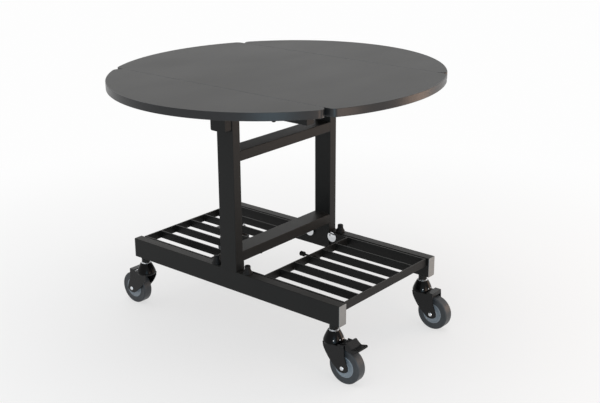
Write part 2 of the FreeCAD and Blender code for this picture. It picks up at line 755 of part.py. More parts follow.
def wheel_axle():
    """Axle bolt with its spacer sleeve between the legs, and a head outside each leg."""
    head = fork_half_width + axle_head_height
    return wheel_turned([(0, -head), (axle_head_flat_radius, -head),
                         (axle_head_radius, -fork_half_width - axle_head_rim),
                         (axle_head_radius, -fork_half_width),
                         (axle_bolt_radius, -fork_half_width), (axle_bolt_radius, -fork_inner),
                         (axle_radius, -fork_inner), (axle_radius, fork_inner),
                         (axle_bolt_radius, fork_inner), (axle_bolt_radius, fork_half_width),
                         (axle_head_radius, fork_half_width),
                         (axle_head_radius, fork_half_width + axle_head_rim),
                         (axle_head_flat_radius, head), (0, head)])


def wheel_hub():
    """Plastic wheel centre with a boss and a raised rim on both faces."""
    bore = axle_radius + running_gap
    boss = hub_width / 2
    web = hub_web_width / 2
    rim = tyre_width / 2
    boss_foot = hub_boss_radius + hub_boss_draft
    inner_rim = hub_radius - hub_rim_width
    return wheel_turned([(bore, -boss), (hub_boss_radius, -boss), (boss_foot, -web),
                         (inner_rim, -web), (inner_rim, -rim), (hub_radius, -rim),
                         (hub_radius, rim), (inner_rim, rim), (inner_rim, web),
                         (boss_foot, web), (hub_boss_radius, boss), (bore, boss)])


def wheel_tyre():
    """Soft tread on the hub, with rounded shoulders."""
    tread = wheel_turned([(hub_radius, -tyre_width / 2), (wheel_radius, -tyre_width / 2),
                          (wheel_radius, tyre_width / 2), (hub_radius, tyre_width / 2)])
    shoulders = [edge for edge in tread.Edges if edge.Curve.TypeId == "Part::GeomCircle"
                 and edge.Curve.Radius > wheel_radius - tolerance]
    return tread.makeFillet(tyre_shoulder, shoulders)


def brake_pedal():
    """Pedal between the fork's legs, on its own journals, widening to a toe plate behind."""
    wide = fork_half_width
    narrow = fork_inner - pedal_side_gap
    points = [caster_point(behind, -wide, fork_top + rise) for behind, rise in pedal_outline]
    body = plate(points, Vector(0, 2 * wide, 0))
    toe = max(behind for behind, rise in pedal_outline)
    near_side = [(0, narrow), (pedal_step_x, narrow), (pedal_step_x, wide),
                 (toe - pedal_corner, wide), (toe, wide - pedal_corner)]
    plan = [(behind, -across) for behind, across in near_side] + near_side[::-1]
    points = [caster_point(behind, across, 0) for behind, across in plan]
    body = body.common(plate(points, Vector(0, 0, rail_underside)))
    pivot_height = fork_top - pedal_pivot_drop
    return body.fuse(rod(pedal_journal_radius, caster_point(pedal_pivot_x, -wide, pivot_height),
                         caster_point(pedal_pivot_x, wide, pivot_height)))


# ---------------------------------------------------------------- write the frame
save("near_rail", near_rail())
save("far_rail", flip_y(near_rail()))
rail_cap = end_cap(rail_half_length, tube_depth, rail_underside)
save("rail_end_caps", four_corners(rail_cap))
save("near_upright", near_upright())
save("far_upright", flip_y(near_upright()))
save("lower_crossbar", crossbar(lower_crossbar_underside))
save("upper_crossbar", crossbar(upper_crossbar_underside))
save("near_top_bar", near_top_bar())
save("far_top_bar", flip_y(near_top_bar()))
bar_cap = end_cap(top_bar_half_length, top_bar_height, top_bar_underside)
save("top_bar_caps", four_corners(bar_cap))
save("pivot_plates", near_and_far(near_pivot_plate()))
save("shelf_pivot_bolts", four_corners(pivot_bolt()))
save("rail_bumpers", four_corners(rail_bumper()))
save("support_housings", near_and_far(housing()))
save("support_pins", near_and_far(arm_pin()))

# ---------------------------------------------------------------- write the top
middle_screws = near_middle_screws()
leaf_screws = near_leaf_screws()
middle_edge = seam_distance - seam_gap / 2
leaf_edge = seam_distance + seam_gap / 2
middle_board = rounded_board(-middle_edge, middle_edge)
for screw in middle_screws:
    middle_board = middle_board.cut(screw).cut(flip_y(screw))
save("middle_top", middle_board)
all_middle_screws = middle_screws + [flip_y(screw) for screw in middle_screws]
save("underside_screws", Part.makeCompound(all_middle_screws))
fixed_plates = Part.makeCompound([hinge_plate(x, -1) for x in hinge_places()])
save("hinge_fixed_plates", near_and_far(fixed_plates))
save("hinge_pins", near_and_far(Part.makeCompound([hinge_pin(x) for x in hinge_places()])))

leaf_board = rounded_board(-top_half_width, -leaf_edge)
for screw in leaf_screws:
    leaf_board = leaf_board.cut(screw)
leaf_pieces = {
    "leaf": leaf_board,
    "hinge_plates": Part.makeCompound([hinge_plate(x, 1) for x in hinge_places()]),
    "leaf_screws": Part.makeCompound(leaf_screws),
    "leaf_buffers": Part.makeCompound([leaf_buffer(side) for side in (-1, 1)]),
    "support_arm": support_arm(),
    "support_roller": support_roller(),
}
for name, piece in leaf_pieces.items():
    save("near_" + name, piece)
    save("far_" + name, half_turn(piece))

# ---------------------------------------------------------------- write the shelves
shelf_pieces = {
    "shelf_side_bars": near_and_far(shelf_side_bar()),
    "shelf_end_bars": shelf_end_bars(),
    "shelf_slats": shelf_slat_bars(),
    "shelf_stop": shelf_stop(),
}
for name, piece in shelf_pieces.items():
    save("right_" + name, piece)
    save("left_" + name, half_turn(piece))

# ---------------------------------------------------------------- write the casters
save("caster_sockets", four_corners(caster_socket()))
save("caster_stems", four_corners(caster_stem()))
save("caster_crowns", four_corners(caster_crown()))
corners = {
    "near_right": (True, lambda shape: shape),
    "near_left": (False, flip_x),
    "far_right": (False, flip_y),
    "far_left": (True, half_turn),
}
for corner, (braked, place) in corners.items():
    save(corner + "_fork", place(caster_fork(braked)))
    save(corner + "_axle", place(wheel_axle()))
    save(corner + "_hub", place(wheel_hub()))
    save(corner + "_tyre", place(wheel_tyre()))
    if braked:
        save(corner + "_brake_pedal", place(brake_pedal()))

print("support arm rest angle %.3f degrees" % math.degrees(arm_angle))
print("leaf hinge axis y %.2f z %.2f" % (seam_distance, hinge_z))
print("shelf pivot x %.2f z %.2f" % (pivot_x, pivot_z))
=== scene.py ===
# %% [markdown]
# # An oval room service table
#
# This lesson dresses a finished construction model of a wheeled service table. The model gives
# every size, place and joint. What is left for Blender is what the eye sees: rounded tube edges,
# a banded table top, moulded wheels, bright bolts, and a finish on every surface.
#
# Each step first says what the piece is on the real table, how it could be made, and why it is
# made this way here.

# %% Load the construction model
import json
import math

import bmesh
import bpy
import numpy as np
from mathutils import Matrix, Vector


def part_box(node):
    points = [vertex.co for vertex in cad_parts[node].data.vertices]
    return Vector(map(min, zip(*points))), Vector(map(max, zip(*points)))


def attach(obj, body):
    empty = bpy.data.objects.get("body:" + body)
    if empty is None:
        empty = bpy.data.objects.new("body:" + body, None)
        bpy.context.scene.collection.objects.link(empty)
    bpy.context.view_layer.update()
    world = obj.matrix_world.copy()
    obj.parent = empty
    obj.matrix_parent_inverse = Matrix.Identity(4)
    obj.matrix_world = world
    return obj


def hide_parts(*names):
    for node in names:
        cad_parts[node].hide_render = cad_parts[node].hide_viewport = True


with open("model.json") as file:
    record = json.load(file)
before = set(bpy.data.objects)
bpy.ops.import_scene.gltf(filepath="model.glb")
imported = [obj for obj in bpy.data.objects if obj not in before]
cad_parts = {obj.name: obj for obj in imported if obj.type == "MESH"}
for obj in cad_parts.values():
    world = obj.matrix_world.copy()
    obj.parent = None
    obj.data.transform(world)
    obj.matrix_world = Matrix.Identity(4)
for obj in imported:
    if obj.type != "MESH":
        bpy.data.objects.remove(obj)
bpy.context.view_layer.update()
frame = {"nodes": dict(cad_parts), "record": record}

nodes = frame["nodes"]
body_of_node = {node: body for body, members in frame["record"]["behaviour"]["bodies"].items()
                for node in members}
slot_of_node = {part["node"]: part["material_slot"] for part in frame["record"]["subparts"]}
MM = 0.001

# %% [markdown]
# ## The camera
#
# The photograph fixes where the camera stood. Straight rails and uprights give its direction, and
# the oval rim and the wheels give its distance. A camera could be aimed with a tracking
# constraint, but its three axes are easy to write down, and then nothing is left to chance. The
# long side of the picture is matched to the sensor's width, which is how Blender reads the lens.

# %% Camera at the photograph's viewpoint
image_width = 600
sensor_width_mm = 36.0
focal_pixels = 1025.85
camera_azimuth = math.radians(39.81)
camera_elevation = math.radians(19.09)
camera_roll = math.radians(-0.30)
camera_distance = 2.95105
camera_target = Vector((0.10571, -0.03614, 0.398))

view_direction = Vector((-math.sin(camera_azimuth) * math.cos(camera_elevation),
                         math.cos(camera_azimuth) * math.cos(camera_elevation),
                         -math.sin(camera_elevation)))
level_right = Vector((math.cos(camera_azimuth), math.sin(camera_azimuth), 0))
level_up = level_right.cross(view_direction)
right = level_right * math.cos(camera_roll) + level_up * math.sin(camera_roll)
up = level_up * math.cos(camera_roll) - level_right * math.sin(camera_roll)

camera_data = bpy.data.cameras.new("photo_camera")
camera_data.sensor_fit = "HORIZONTAL"
camera_data.sensor_width = sensor_width_mm
camera_data.lens = focal_pixels / image_width * sensor_width_mm
camera_data.clip_end = 60
camera = bpy.data.objects.new("photo_camera", camera_data)
bpy.context.scene.collection.objects.link(camera)
camera_axes = Matrix((right, up, -view_direction)).transposed()
place = camera_target - view_direction * camera_distance
camera.matrix_world = Matrix.Translation(place) @ camera_axes.to_4x4()
bpy.context.scene.camera = camera
print("camera at", tuple(round(value, 3) for value in place), "lens", round(camera_data.lens, 2))

# %% [markdown]
# ## Writing shader maths as ordinary maths
#
# A material in Blender is a graph of nodes. Wiring sums by hand hides what they mean, so a small
# class wraps one output socket and lets Python's own operators add the Math nodes. Every other
# node comes from one method that takes its type, its settings and its inputs.

# %% Field: a number that changes over a surface
class Field:
    """One output socket of a material. Operators on it add Math nodes to the material."""

    def __init__(self, paint, socket):
        self.paint = paint
        self.socket = socket

    def maths(self, operation, *others):
        """The Math node 'operation' of this value and the others, in order."""
        node = self.paint.node("ShaderNodeMath", {"operation": operation})
        for index, value in enumerate((self,) + others):
            self.paint.feed(node.inputs[index], value)
        return Field(self.paint, node.outputs[0])

    def __add__(self, other):
        return self.maths("ADD", other)

    def __radd__(self, other):
        return self.maths("ADD", other)

    def __mul__(self, other):
        return self.maths("MULTIPLY", other)

    def __rmul__(self, other):
        return self.maths("MULTIPLY", other)

    def __pow__(self, other):
        return self.maths("POWER", other)

    def ramp_up(self, low, high):
        """0 below low, 1 above high, and smooth in between."""
        node = self.paint.node("ShaderNodeMapRange", {"interpolation_type": "SMOOTHSTEP"},
                               {"Value": self, "From Min": low, "From Max": high})
        return Field(self.paint, node.outputs["Result"])


# %% Paint: one material
def linear(*rgb):
    """A colour given as it looks on a screen, 0 to 255, as the linear light that shaders use."""
    share = np.array(rgb) / 255
    light = np.where(share <= 0.04045, share / 12.92, ((share + 0.055) / 1.055) ** 2.4)
    return (*light.tolist(), 1.0)


class Paint:
    """A material built round one Principled shader, on the piece's own Object coordinates."""

    def __init__(self, name, **constants):
        self.material = bpy.data.materials.new(name)
        self.material.use_nodes = True
        self.tree = self.material.node_tree
        self.shader = self.tree.nodes["Principled BSDF"]
        for socket, value in constants.items():
            self.shader.inputs[socket.replace("_", " ")].default_value = value
        self.place = self.node("ShaderNodeTexCoord").outputs["Object"]

    def node(self, kind, settings=None, inputs=None):
        """A node of that type: its settings are set first, then its sockets fed."""
        made = self.tree.nodes.new(kind)
        for key, value in (settings or {}).items():
            setattr(made, key, value)
        for key, value in (inputs or {}).items():
            self.feed(made.inputs[key], value)
        return made

    def feed(self, socket, value):
        """Link a field or a socket into a socket, or set the socket's own value."""
        if isinstance(value, Field):
            value = value.socket
        if isinstance(value, bpy.types.NodeSocket):
            self.tree.links.new(value, socket)
        else:
            socket.default_value = value

    def noise(self, size, detail=3.0, roughness=0.5, stretch=(1, 1, 1)):
        """Cloudy noise whose blobs are about size metres wide, as a field from 0 to 1."""
        moved = self.node("ShaderNodeMapping", {}, {"Vector": self.place, "Scale": stretch})
        made = self.node("ShaderNodeTexNoise", {}, {"Vector": moved.outputs[0], "Scale": 1 / size,
                                                    "Detail": detail, "Roughness": roughness})
        return Field(self, made.outputs[0])

    def speckle(self, size):
        """Random flat cells about size metres wide, as a field from 0 to 1."""
        made = self.node("ShaderNodeTexVoronoi", {}, {"Vector": self.place, "Scale": 1 / size})
        return Field(self, made.outputs["Color"])

    def coordinate(self, axis):
        """How far a point lies along the piece's X, Y or Z, in metres."""
        made = self.node("ShaderNodeSeparateXYZ", {}, {"Vector": self.place})
        return Field(self, made.outputs[axis])

    def facing_up(self, low, high):
        """0 on upright faces and 1 on level ones, by the height of the piece's own normal."""
        normal = self.node("ShaderNodeTexCoord").outputs["Normal"]
        made = self.node("ShaderNodeSeparateXYZ", {}, {"Vector": normal})
        return Field(self, made.outputs["Z"]).ramp_up(low, high)

    def mix(self, share, first, second):
        """A colour that goes from the first to the second as share goes from 0 to 1."""
        made = self.node("ShaderNodeMix", {"data_type": "RGBA"})
        self.feed(made.inputs[0], share)
        self.feed(made.inputs[6], first)
        self.feed(made.inputs[7], second)
        return made.outputs[2]

    def colour(self, value):
        self.feed(self.shader.inputs["Base Color"], value)
        return self

    def rough(self, value):
        self.feed(self.shader.inputs["Roughness"], value)
        return self

    def bump(self, height, depth):
        """Relief from a field from 0 to 1; depth is its height in metres."""
        made = self.node("ShaderNodeBump", {}, {"Height": height, "Distance": depth,
                                                "Strength": 1.0})
        self.feed(self.shader.inputs["Normal"], made.outputs[0])
        return self


# %% [markdown]
# ## The finishes
#
# The photograph shows few colours and many sheens: a dark matt top, a black powder coat that
# catches light on its edges, lacquered forks, grey rubber and bright zinc. So the colours stay
# plain, and the difference is in the roughness and in the fine relief. Powder coat has a soft
# orange-peel skin about a millimetre across, laminate a much finer grain, moulded plastic a
# faint spark texture, and rubber a slightly dusty bloom.

# %% Table top finishes
def laminate():
    """Matt dark laminate: very fine grain, and faint cloudy wiping marks in the sheen."""
    paint = Paint("dark_laminate", Roughness=0.42, Specular_IOR_Level=0.15)
    grain = paint.noise(0.0011, detail=2.0)
    clouds = paint.noise(0.16, detail=3.0, stretch=(1.0, 0.45, 1.0))
    fleck = paint.speckle(0.0016)
    paint.colour(paint.mix(grain * 0.5 + fleck * 0.3 + clouds * 0.2,
                           linear(37, 37, 36), linear(50, 50, 49)))
    paint.rough(0.36 + clouds * 0.10 + grain * 0.06)
    return paint.bump(grain, 0.00004).material


def edge_band():
    """Dark plastic edge band: smoother than the laminate, with faint upright machine marks."""
    paint = Paint("dark_edge_band", Roughness=0.3, Specular_IOR_Level=0.3)
    streak = paint.noise(0.0012, detail=2.0, stretch=(1.0, 1.0, 0.1))
    clouds = paint.noise(0.05)
    paint.colour(paint.mix(clouds, linear(30, 30, 31), linear(38, 38, 39)))
    paint.rough(0.24 + streak * 0.14 + clouds * 0.06)
    return paint.bump(streak, 0.00004).material


# %% Metal finishes
def powder_coat():
    """Black powder coat: orange-peel skin, and painted light that lightens the faces that look up.
    """
    paint = Paint("black_powder_coat", Roughness=0.42, Specular_IOR_Level=0.17)
    peel = paint.noise(0.0016, detail=1.5)
    mottle = paint.noise(0.07, detail=4.0)
    # painted highlight: faces that look up are painted lighter, mottled by cloudy noise, in place
    # of the light falling on them
    painted_top_light = paint.facing_up(0.55, 0.95) * (0.75 + mottle * 0.5)
    coat = paint.mix(mottle, linear(19, 20, 20), linear(29, 29, 28))
    # 46, 45, 43 is the painted lit grey of the upward faces
    paint.colour(paint.mix(painted_top_light, coat, linear(46, 45, 43)))
    paint.rough(0.38 + mottle * 0.12 + peel * 0.05)
    return paint.bump(peel, 0.00007).material


def fork_lacquer():
    """Glossy black lacquer on pressed steel, with long shallow rolling marks and some haze."""
    paint = Paint("fork_black", Roughness=0.26, Specular_IOR_Level=0.25)
    rolling = paint.noise(0.004, detail=2.0, stretch=(1.0, 1.0, 0.3))
    haze = paint.noise(0.02, detail=3.0)
    paint.colour(paint.mix(haze, linear(9, 9, 10), linear(19, 19, 20)))
    paint.rough(0.20 + haze * 0.18)
    return paint.bump(rolling, 0.00006).material


def crown_enamel():
    """Deep black enamel of the casters' covers: darker and smoother than the forks."""
    paint = Paint("crown_black", Roughness=0.27, Specular_IOR_Level=0.1)
    haze = paint.noise(0.015, detail=3.0)
    paint.colour(paint.mix(haze, linear(4, 4, 5), linear(10, 10, 11)))
    paint.rough(0.16 + haze * 0.14)
    return paint.bump(haze, 0.00004).material


def bright_metal(name, smooth, dull):
    """Cool white plated metal: a fine brushed grain, and roughness from smooth to dull."""
    paint = Paint(name, Metallic=1.0, Roughness=smooth)
    brushed = paint.noise(0.0008, detail=2.0, stretch=(1.0, 1.0, 6.0))
    cloud = paint.noise(0.006, detail=3.0)
    paint.colour(paint.mix(cloud, linear(200, 204, 208), linear(228, 230, 232)))
    paint.rough(smooth + (brushed * 0.6 + cloud * 0.4) * (dull - smooth))
    return paint.bump(brushed, 0.00001).material


# %% Plastic and rubber finishes
def moulded(name, dark, light, roughness, spark_depth, specular=0.3):
    """Moulded plastic or rubber: spark-eroded skin, and a faint bloom in the colour."""
    paint = Paint(name, Roughness=roughness, Specular_IOR_Level=specular)
    spark = paint.noise(0.0007, detail=2.0)
    bloom = paint.noise(0.012, detail=4.0)
    paint.colour(paint.mix(bloom, linear(*dark), linear(*light)))
    paint.rough(roughness - 0.05 + bloom * 0.08 + spark * 0.04)
    return paint.bump(spark, spark_depth).material


materials = {
    "dark_laminate": laminate(),
    "edge_band": edge_band(),
    "black_powder_coat": powder_coat(),
    "fork_black": fork_lacquer(),
    "crown_black": crown_enamel(),
    "zinc_steel": bright_metal("zinc_steel", 0.16, 0.34),
    "polished_steel": bright_metal("polished_steel", 0.05, 0.13),
    "satin_zinc": bright_metal("satin_zinc", 0.36, 0.52),
    "grey_cap": moulded("grey_cap", (124, 125, 124), (134, 135, 134), 0.5, 0.00003),
    "black_cap": moulded("black_cap", (18, 18, 18), (26, 26, 26), 0.5, 0.00003, 0.2),
    "black_rubber": moulded("black_rubber", (14, 14, 14), (22, 22, 22), 0.6, 0.00004, 0.2),
    "hub_grey": moulded("hub_grey", (133, 140, 147), (145, 152, 158), 0.42, 0.00002),
    "tyre_grey": moulded("tyre_grey", (52, 55, 58), (63, 66, 69), 0.4, 0.00003),
    "black_nylon": moulded("black_nylon", (14, 14, 15), (22, 22, 23), 0.38, 0.00003, 0.22),
}
print("finishes:", ", ".join(materials))

# %% [markdown]
# ## From arrays to a piece
#
# Every new surface below ends as an array of points and an array of faces. One function turns the
# arrays into a piece: it measures the enclosed volume to be sure that the faces point outwards,
# gives the finish, hides the construction piece it stands in for, and lets it ride on its body.

# %% Piece maker
sharp_angle = math.radians(38)


def enclosed_volume(points, faces):
    """Sum over the triangles that fan each face of a . (b x c) / 6: positive if they face out."""
    total = 0.0
    for block in faces:
        corner = points[block]
        for step in range(1, block.shape[1] - 1):
            cross = np.cross(corner[:, step], corner[:, step + 1])
            total += float(np.einsum("ij,ij->", corner[:, 0], cross)) / 6
    return total


def finish_piece(name, mesh, finish, node, stands_in=True, bevel=0.0):
    """Wrap a mesh as a piece at the origin: smooth shading, finish, body, and its node hidden if
    it stands in.
    """
    piece = bpy.data.objects.new(name, mesh)
    bpy.context.scene.collection.objects.link(piece)
    mesh.materials.clear()
    mesh.materials.append(materials[finish])
    mesh.shade_smooth()
    if bevel:
        rounding = piece.modifiers.new("rounding", "BEVEL")
        rounding.width = bevel
        rounding.segments = 2
        rounding.limit_method = "ANGLE"
        rounding.angle_limit = sharp_angle
        rounding.harden_normals = True
    else:
        mesh.set_sharp_from_angle(angle=sharp_angle)
    weights = piece.modifiers.new("flat faces stay flat", "WEIGHTED_NORMAL")
    weights.keep_sharp = True
    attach(piece, body_of_node[node])
    if stands_in:
        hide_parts(node)
    return piece


def piece_from_shapes(name, shapes, finish, node, **options):
    """A piece from closed shapes, each points (n, 3) and a list of face arrays (m, corners).

    The face numbers of a shape move up past the points of the shapes before it."""
    points = []
    faces = []
    count = 0
    for shape_points, shape_faces in shapes:
        if enclosed_volume(shape_points, shape_faces) < 0:
            shape_faces = [block[:, ::-1] for block in shape_faces]
        points.append(shape_points)
        faces += [face for block in shape_faces for face in (block + count).tolist()]
        count += len(shape_points)
    mesh = bpy.data.meshes.new(name)
    mesh.from_pydata(np.concatenate(points), [], faces)
    mesh.validate()
    return finish_piece(name, mesh, finish, node, **options)


# %% [markdown]
# ## Reading the construction model
#
# One node can hold several equal solids, such as the four rail bumpers. A finished piece has to
# sit exactly on each of them, so their boxes are measured. The triangles of a solid share their
# corners and different solids don't, so labels that spread over shared corners tell them apart.

# %% Boxes of the separate solids of a node
def solid_boxes(node):
    """The lowest and highest corner of each separate solid of a node, as an array (k, 2, 3).

    Corners at the same place count as one. Each takes the lowest label among the triangles it
    belongs to, over and over, until nothing changes: one label is left for each solid."""
    mesh = nodes[node].data
    places = np.empty(len(mesh.vertices) * 3)
    mesh.vertices.foreach_get("co", places)
    places = places.reshape(-1, 3)
    mesh.calc_loop_triangles()
    triangles = np.empty(len(mesh.loop_triangles) * 3, int)
    mesh.loop_triangles.foreach_get("vertices", triangles)
    _, same = np.unique(np.round(places / (0.001 * MM)), axis=0, return_inverse=True)
    triangles = same.reshape(-1)[triangles].reshape(-1, 3)
    label = np.arange(same.max() + 1)
    while True:
        spread = label.copy()
        lowest = np.repeat(label[triangles].min(axis=1), 3)
        np.minimum.at(spread, triangles.reshape(-1), lowest)
        spread = spread[spread]
        if (spread == label).all():
            break
        label = spread
    of_point = label[same.reshape(-1)]
    groups = [places[of_point == value] for value in np.unique(of_point)]
    return np.array([(group.min(axis=0), group.max(axis=0)) for group in groups])


def solids(node):
    """The lowest corner, highest corner and middle of each separate solid of a node."""
    return [(low, high, (low + high) / 2) for low, high in solid_boxes(node)]


print("solids in the bumper node:", len(solid_boxes("rail_bumpers")))

# %% [markdown]
# ## Surfaces from two parameters
#
# A few small functions cover most of the table. A strip of rings becomes quads by index
# arithmetic alone. A lathe turns a profile about an axis, which is how wheels, bumpers and bolts
# are really made. A swept section pushes one outline along a straight line, which is how tube is
# drawn. None of them visits a vertex in a loop.

# %% Ring strips and the lathe
UP = (0, 0, 1)
ACROSS = (0, 1, 0)


def ring_faces(rings, around, closed=False):
    """Quads between neighbouring rings of the same length; closed joins the last to the first."""
    row = np.arange(rings if closed else rings - 1)[:, None]
    column = np.arange(around)[None, :]
    after = (row + 1) % rings
    beside = (column + 1) % around
    quads = np.stack([row * around + column, row * around + beside,
                      after * around + beside, after * around + column], axis=-1)
    return quads.reshape(-1, 4)


def capped(rings):
    """A stack of rings (count, around, 3) as one closed shape with a flat face at each end."""
    count, around = rings.shape[:2]
    faces = [ring_faces(count, around), np.arange(around)[None, ::-1],
             np.arange(around)[None] + (count - 1) * around]
    return rings.reshape(-1, 3), faces


def axis_frame(axis):
    """Two unit directions square to an axis and to each other."""
    axis = np.asarray(axis, float)
    u = np.cross(axis, (0.0, 0.0, 1.0) if abs(axis[2]) < 0.9 else (1.0, 0.0, 0.0))
    u /= np.linalg.norm(u)
    return u, np.cross(axis, u)


def spokes(axis, around):
    """Unit directions evenly round an axis: at angle t it is u cos t + v sin t, with u and v
    square to the axis."""
    u, v = axis_frame(axis)
    angle = np.linspace(0, 2 * np.pi, around, endpoint=False)
    return np.outer(np.cos(angle), u) + np.outer(np.sin(angle), v)


def lathe(profile, centre, axis, around=64):
    """Turn a profile about an axis through centre.

    profile holds (radius, distance along the axis). A point of the surface is
    centre + radius spoke + distance axis, for each of the spokes round the axis.
    A profile that starts and ends on the axis is closed there by two flat faces; any other
    profile is joined end to end, as a ring is. With around = 6 the turned piece is a hexagon."""
    profile = np.asarray(profile, float)
    spoke = spokes(axis, around)
    on_axis = profile[0, 0] < 1e-9 and profile[-1, 0] < 1e-9
    if on_axis:
        profile = profile[1:-1]
    rings = (np.asarray(centre, float) + profile[:, None, :1] * spoke[None]
             + profile[:, None, 1:] * np.asarray(axis, float))
    if on_axis:
        return capped(rings)
    return rings.reshape(-1, 3), [ring_faces(len(profile), around, closed=True)]


def unit_arc(angle):
    """Points (cos t, sin t) of the unit circle at the angles t."""
    return np.stack([np.cos(angle), np.sin(angle)], axis=-1)


def quarter_round(centre, radius, start, steps=5, end=None):
    """Profile points on an arc about centre, from start degrees a quarter turn on (or to end)."""
    stop = start + 90 if end is None else end
    angle = np.radians(np.linspace(start, stop, steps + 1))
    return (np.asarray(centre, float) + radius * unit_arc(angle)).tolist()


def chamfered(radius, start, stop, inset, along):
    """Profile of a solid rod from start to stop, whose rims are cut back by inset and along."""
    return [(0, start), (radius - inset, start), (radius, start + along),
            (radius, stop - along), (radius - inset, stop), (0, stop)]


# %% Lofts between rounded sections
def rounded_rectangle(width, height, radius, steps=5):
    """Outline of a rectangle about (0, 0) with quarter-circle corners, anticlockwise."""
    quarter = np.linspace(0, np.pi / 2, steps + 1)
    corners = []
    for turn, (side, rise) in enumerate(((1, 1), (-1, 1), (-1, -1), (1, -1))):
        angle = quarter + turn * np.pi / 2
        centre = np.array((side * (width / 2 - radius), rise * (height / 2 - radius)))
        corners.append(centre + radius * unit_arc(angle))
    return np.concatenate(corners)


def loft(sections, along, radius):
    """A closed bar through rounded rectangles square to the axis 'along' (0, 1 or 2).

    sections holds (place on the axis, low corner, high corner), with the corners given in the
    two other axes. Each section's corner radius is at most 'radius' and half its smaller side."""
    across = [axis for axis in range(3) if axis != along]
    rings = []
    for where, low, high in sections:
        low = np.asarray(low, float)
        high = np.asarray(high, float)
        size = high - low
        corner = min(radius, 0.49 * size.min())
        outline = rounded_rectangle(size[0], size[1], corner)
        ring = np.full((len(outline), 3), float(where))
        ring[:, across] = (low + high) / 2 + outline
        rings.append(ring)
    return capped(np.array(rings))


def bar_between(low, high, along, radius, end_round=0.0):
    """A straight bar that fills the box from low to high, with rounded long edges.

    With end_round, each end is drawn in over that length as a quarter circle, in three steps:
    at angle t the section is smaller by end_round (1 - cos t), end_round (1 - sin t) from the
    end."""
    low = np.asarray(low, float)
    high = np.asarray(high, float)
    across = [axis for axis in range(3) if axis != along]
    turn = np.radians([90, 60, 30, 0]) if end_round else np.zeros(1)
    shrink = end_round * (1 - np.cos(turn))
    inset = end_round * (1 - np.sin(turn)) if end_round else np.zeros(1)
    places = np.concatenate([low[along] + inset, high[along] - inset[::-1]])
    shrinks = np.concatenate([shrink, shrink[::-1]])
    sections = [(where, low[across] + tight, high[across] - tight)
                for where, tight in zip(places, shrinks)]
    return loft(sections, along, radius)


def node_box(node):
    """A node's lowest and highest corner, as arrays."""
    low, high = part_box(node)
    return np.array(low), np.array(high)


# %% [markdown]
# ## The oval top
#
# Each board is a core with dark laminate on both faces and a plastic band glued round its edge.
# The boards could be cut from an ellipse with Boolean tools, but that leaves uneven edges. Here
# the outline is worked out: an ellipse, straight seams, and corner arcs that touch both. An arc's
# centre lies one radius inside the seam and one radius inside the ellipse, which fixes it. The
# same outline moved inwards gives the band's inner edge, so band and board fit exactly.

# %% Outline of a board
top_low, top_high = node_box("middle_top")
leaf_low, leaf_high = node_box("near_leaf")
board_bottom, board_top = top_low[2], top_high[2]
half_length = top_high[0]
half_width = -leaf_low[1]
seam_corner = 20 * MM
band_thickness = 2.0 * MM
band_round = 1.2 * MM


def ellipse_inside(angle, inset):
    """Points of the oval moved inwards along its normal.

    The oval is (a cos t, b sin t), and its outward normal runs along (cos t / a, sin t / b)."""
    point = np.stack([half_length * np.cos(angle), half_width * np.sin(angle)], axis=-1)
    normal = np.stack([np.cos(angle) / half_length, np.sin(angle) / half_width], axis=-1)
    normal /= np.linalg.norm(normal, axis=-1, keepdims=True)
    return point - inset * normal, normal


def corner_arc(seam, side):
    """The corner between a seam and the oval's right half, for a board on that side (+1, -1).

    Returns the oval's angle where the arc touches it, the arc's centre and its end direction."""
    angle = np.linspace(-np.pi / 2, np.pi / 2, 4001)
    centre, normal = ellipse_inside(angle, seam_corner)
    touch = np.interp(seam + side * seam_corner, centre[:, 1], angle)
    centre, normal = ellipse_inside(np.array([touch]), seam_corner)
    return touch, centre[0], math.atan2(normal[0, 1], normal[0, 0])


def board_outline(low_seam, high_seam, inset, oval_steps=120, arc_steps=10):
    """Anticlockwise outline of the board between two seams, moved inwards by inset.

    The right half runs up from the lower seam: corner arc, oval, corner arc. The left half is
    its mirror image. A seam given as None lies beyond the oval."""
    start = -np.pi / 2
    stop = np.pi / 2
    half = []
    if low_seam is not None:
        start, centre, direction = corner_arc(low_seam, 1)
        turn = np.linspace(-np.pi / 2, direction, arc_steps + 1)[:-1]
        half.append(centre + (seam_corner - inset) * unit_arc(turn))
    upper = None
    if high_seam is not None:
        stop, centre, direction = corner_arc(high_seam, -1)
        turn = np.linspace(direction, np.pi / 2, arc_steps + 1)[1:]
        upper = centre + (seam_corner - inset) * unit_arc(turn)
    half.append(ellipse_inside(np.linspace(start, stop, oval_steps + 1), inset)[0])
    if upper is not None:
        half.append(upper)
    right = np.concatenate(half)
    left = right[::-1] * (-1, 1)
    if high_seam is None:
        left = left[1:]
    if low_seam is None:
        left = left[:-1]
    return np.concatenate([right, left])


# %% Boards and edge bands
seam_gap_half = (top_low[1] - leaf_high[1]) / 2
seam = top_high[1] + seam_gap_half
board_seams = {"near_leaf": (None, -seam - seam_gap_half),
               "middle_top": (-seam + seam_gap_half, seam - seam_gap_half),
               "far_leaf": (seam + seam_gap_half, None)}
laminate_ease = 0.15 * MM


def ring_at(seams, inset, height):
    """A board's outline as a ring of points at one height."""
    outline = board_outline(*seams, inset)
    return np.column_stack([outline, np.full(len(outline), height)])


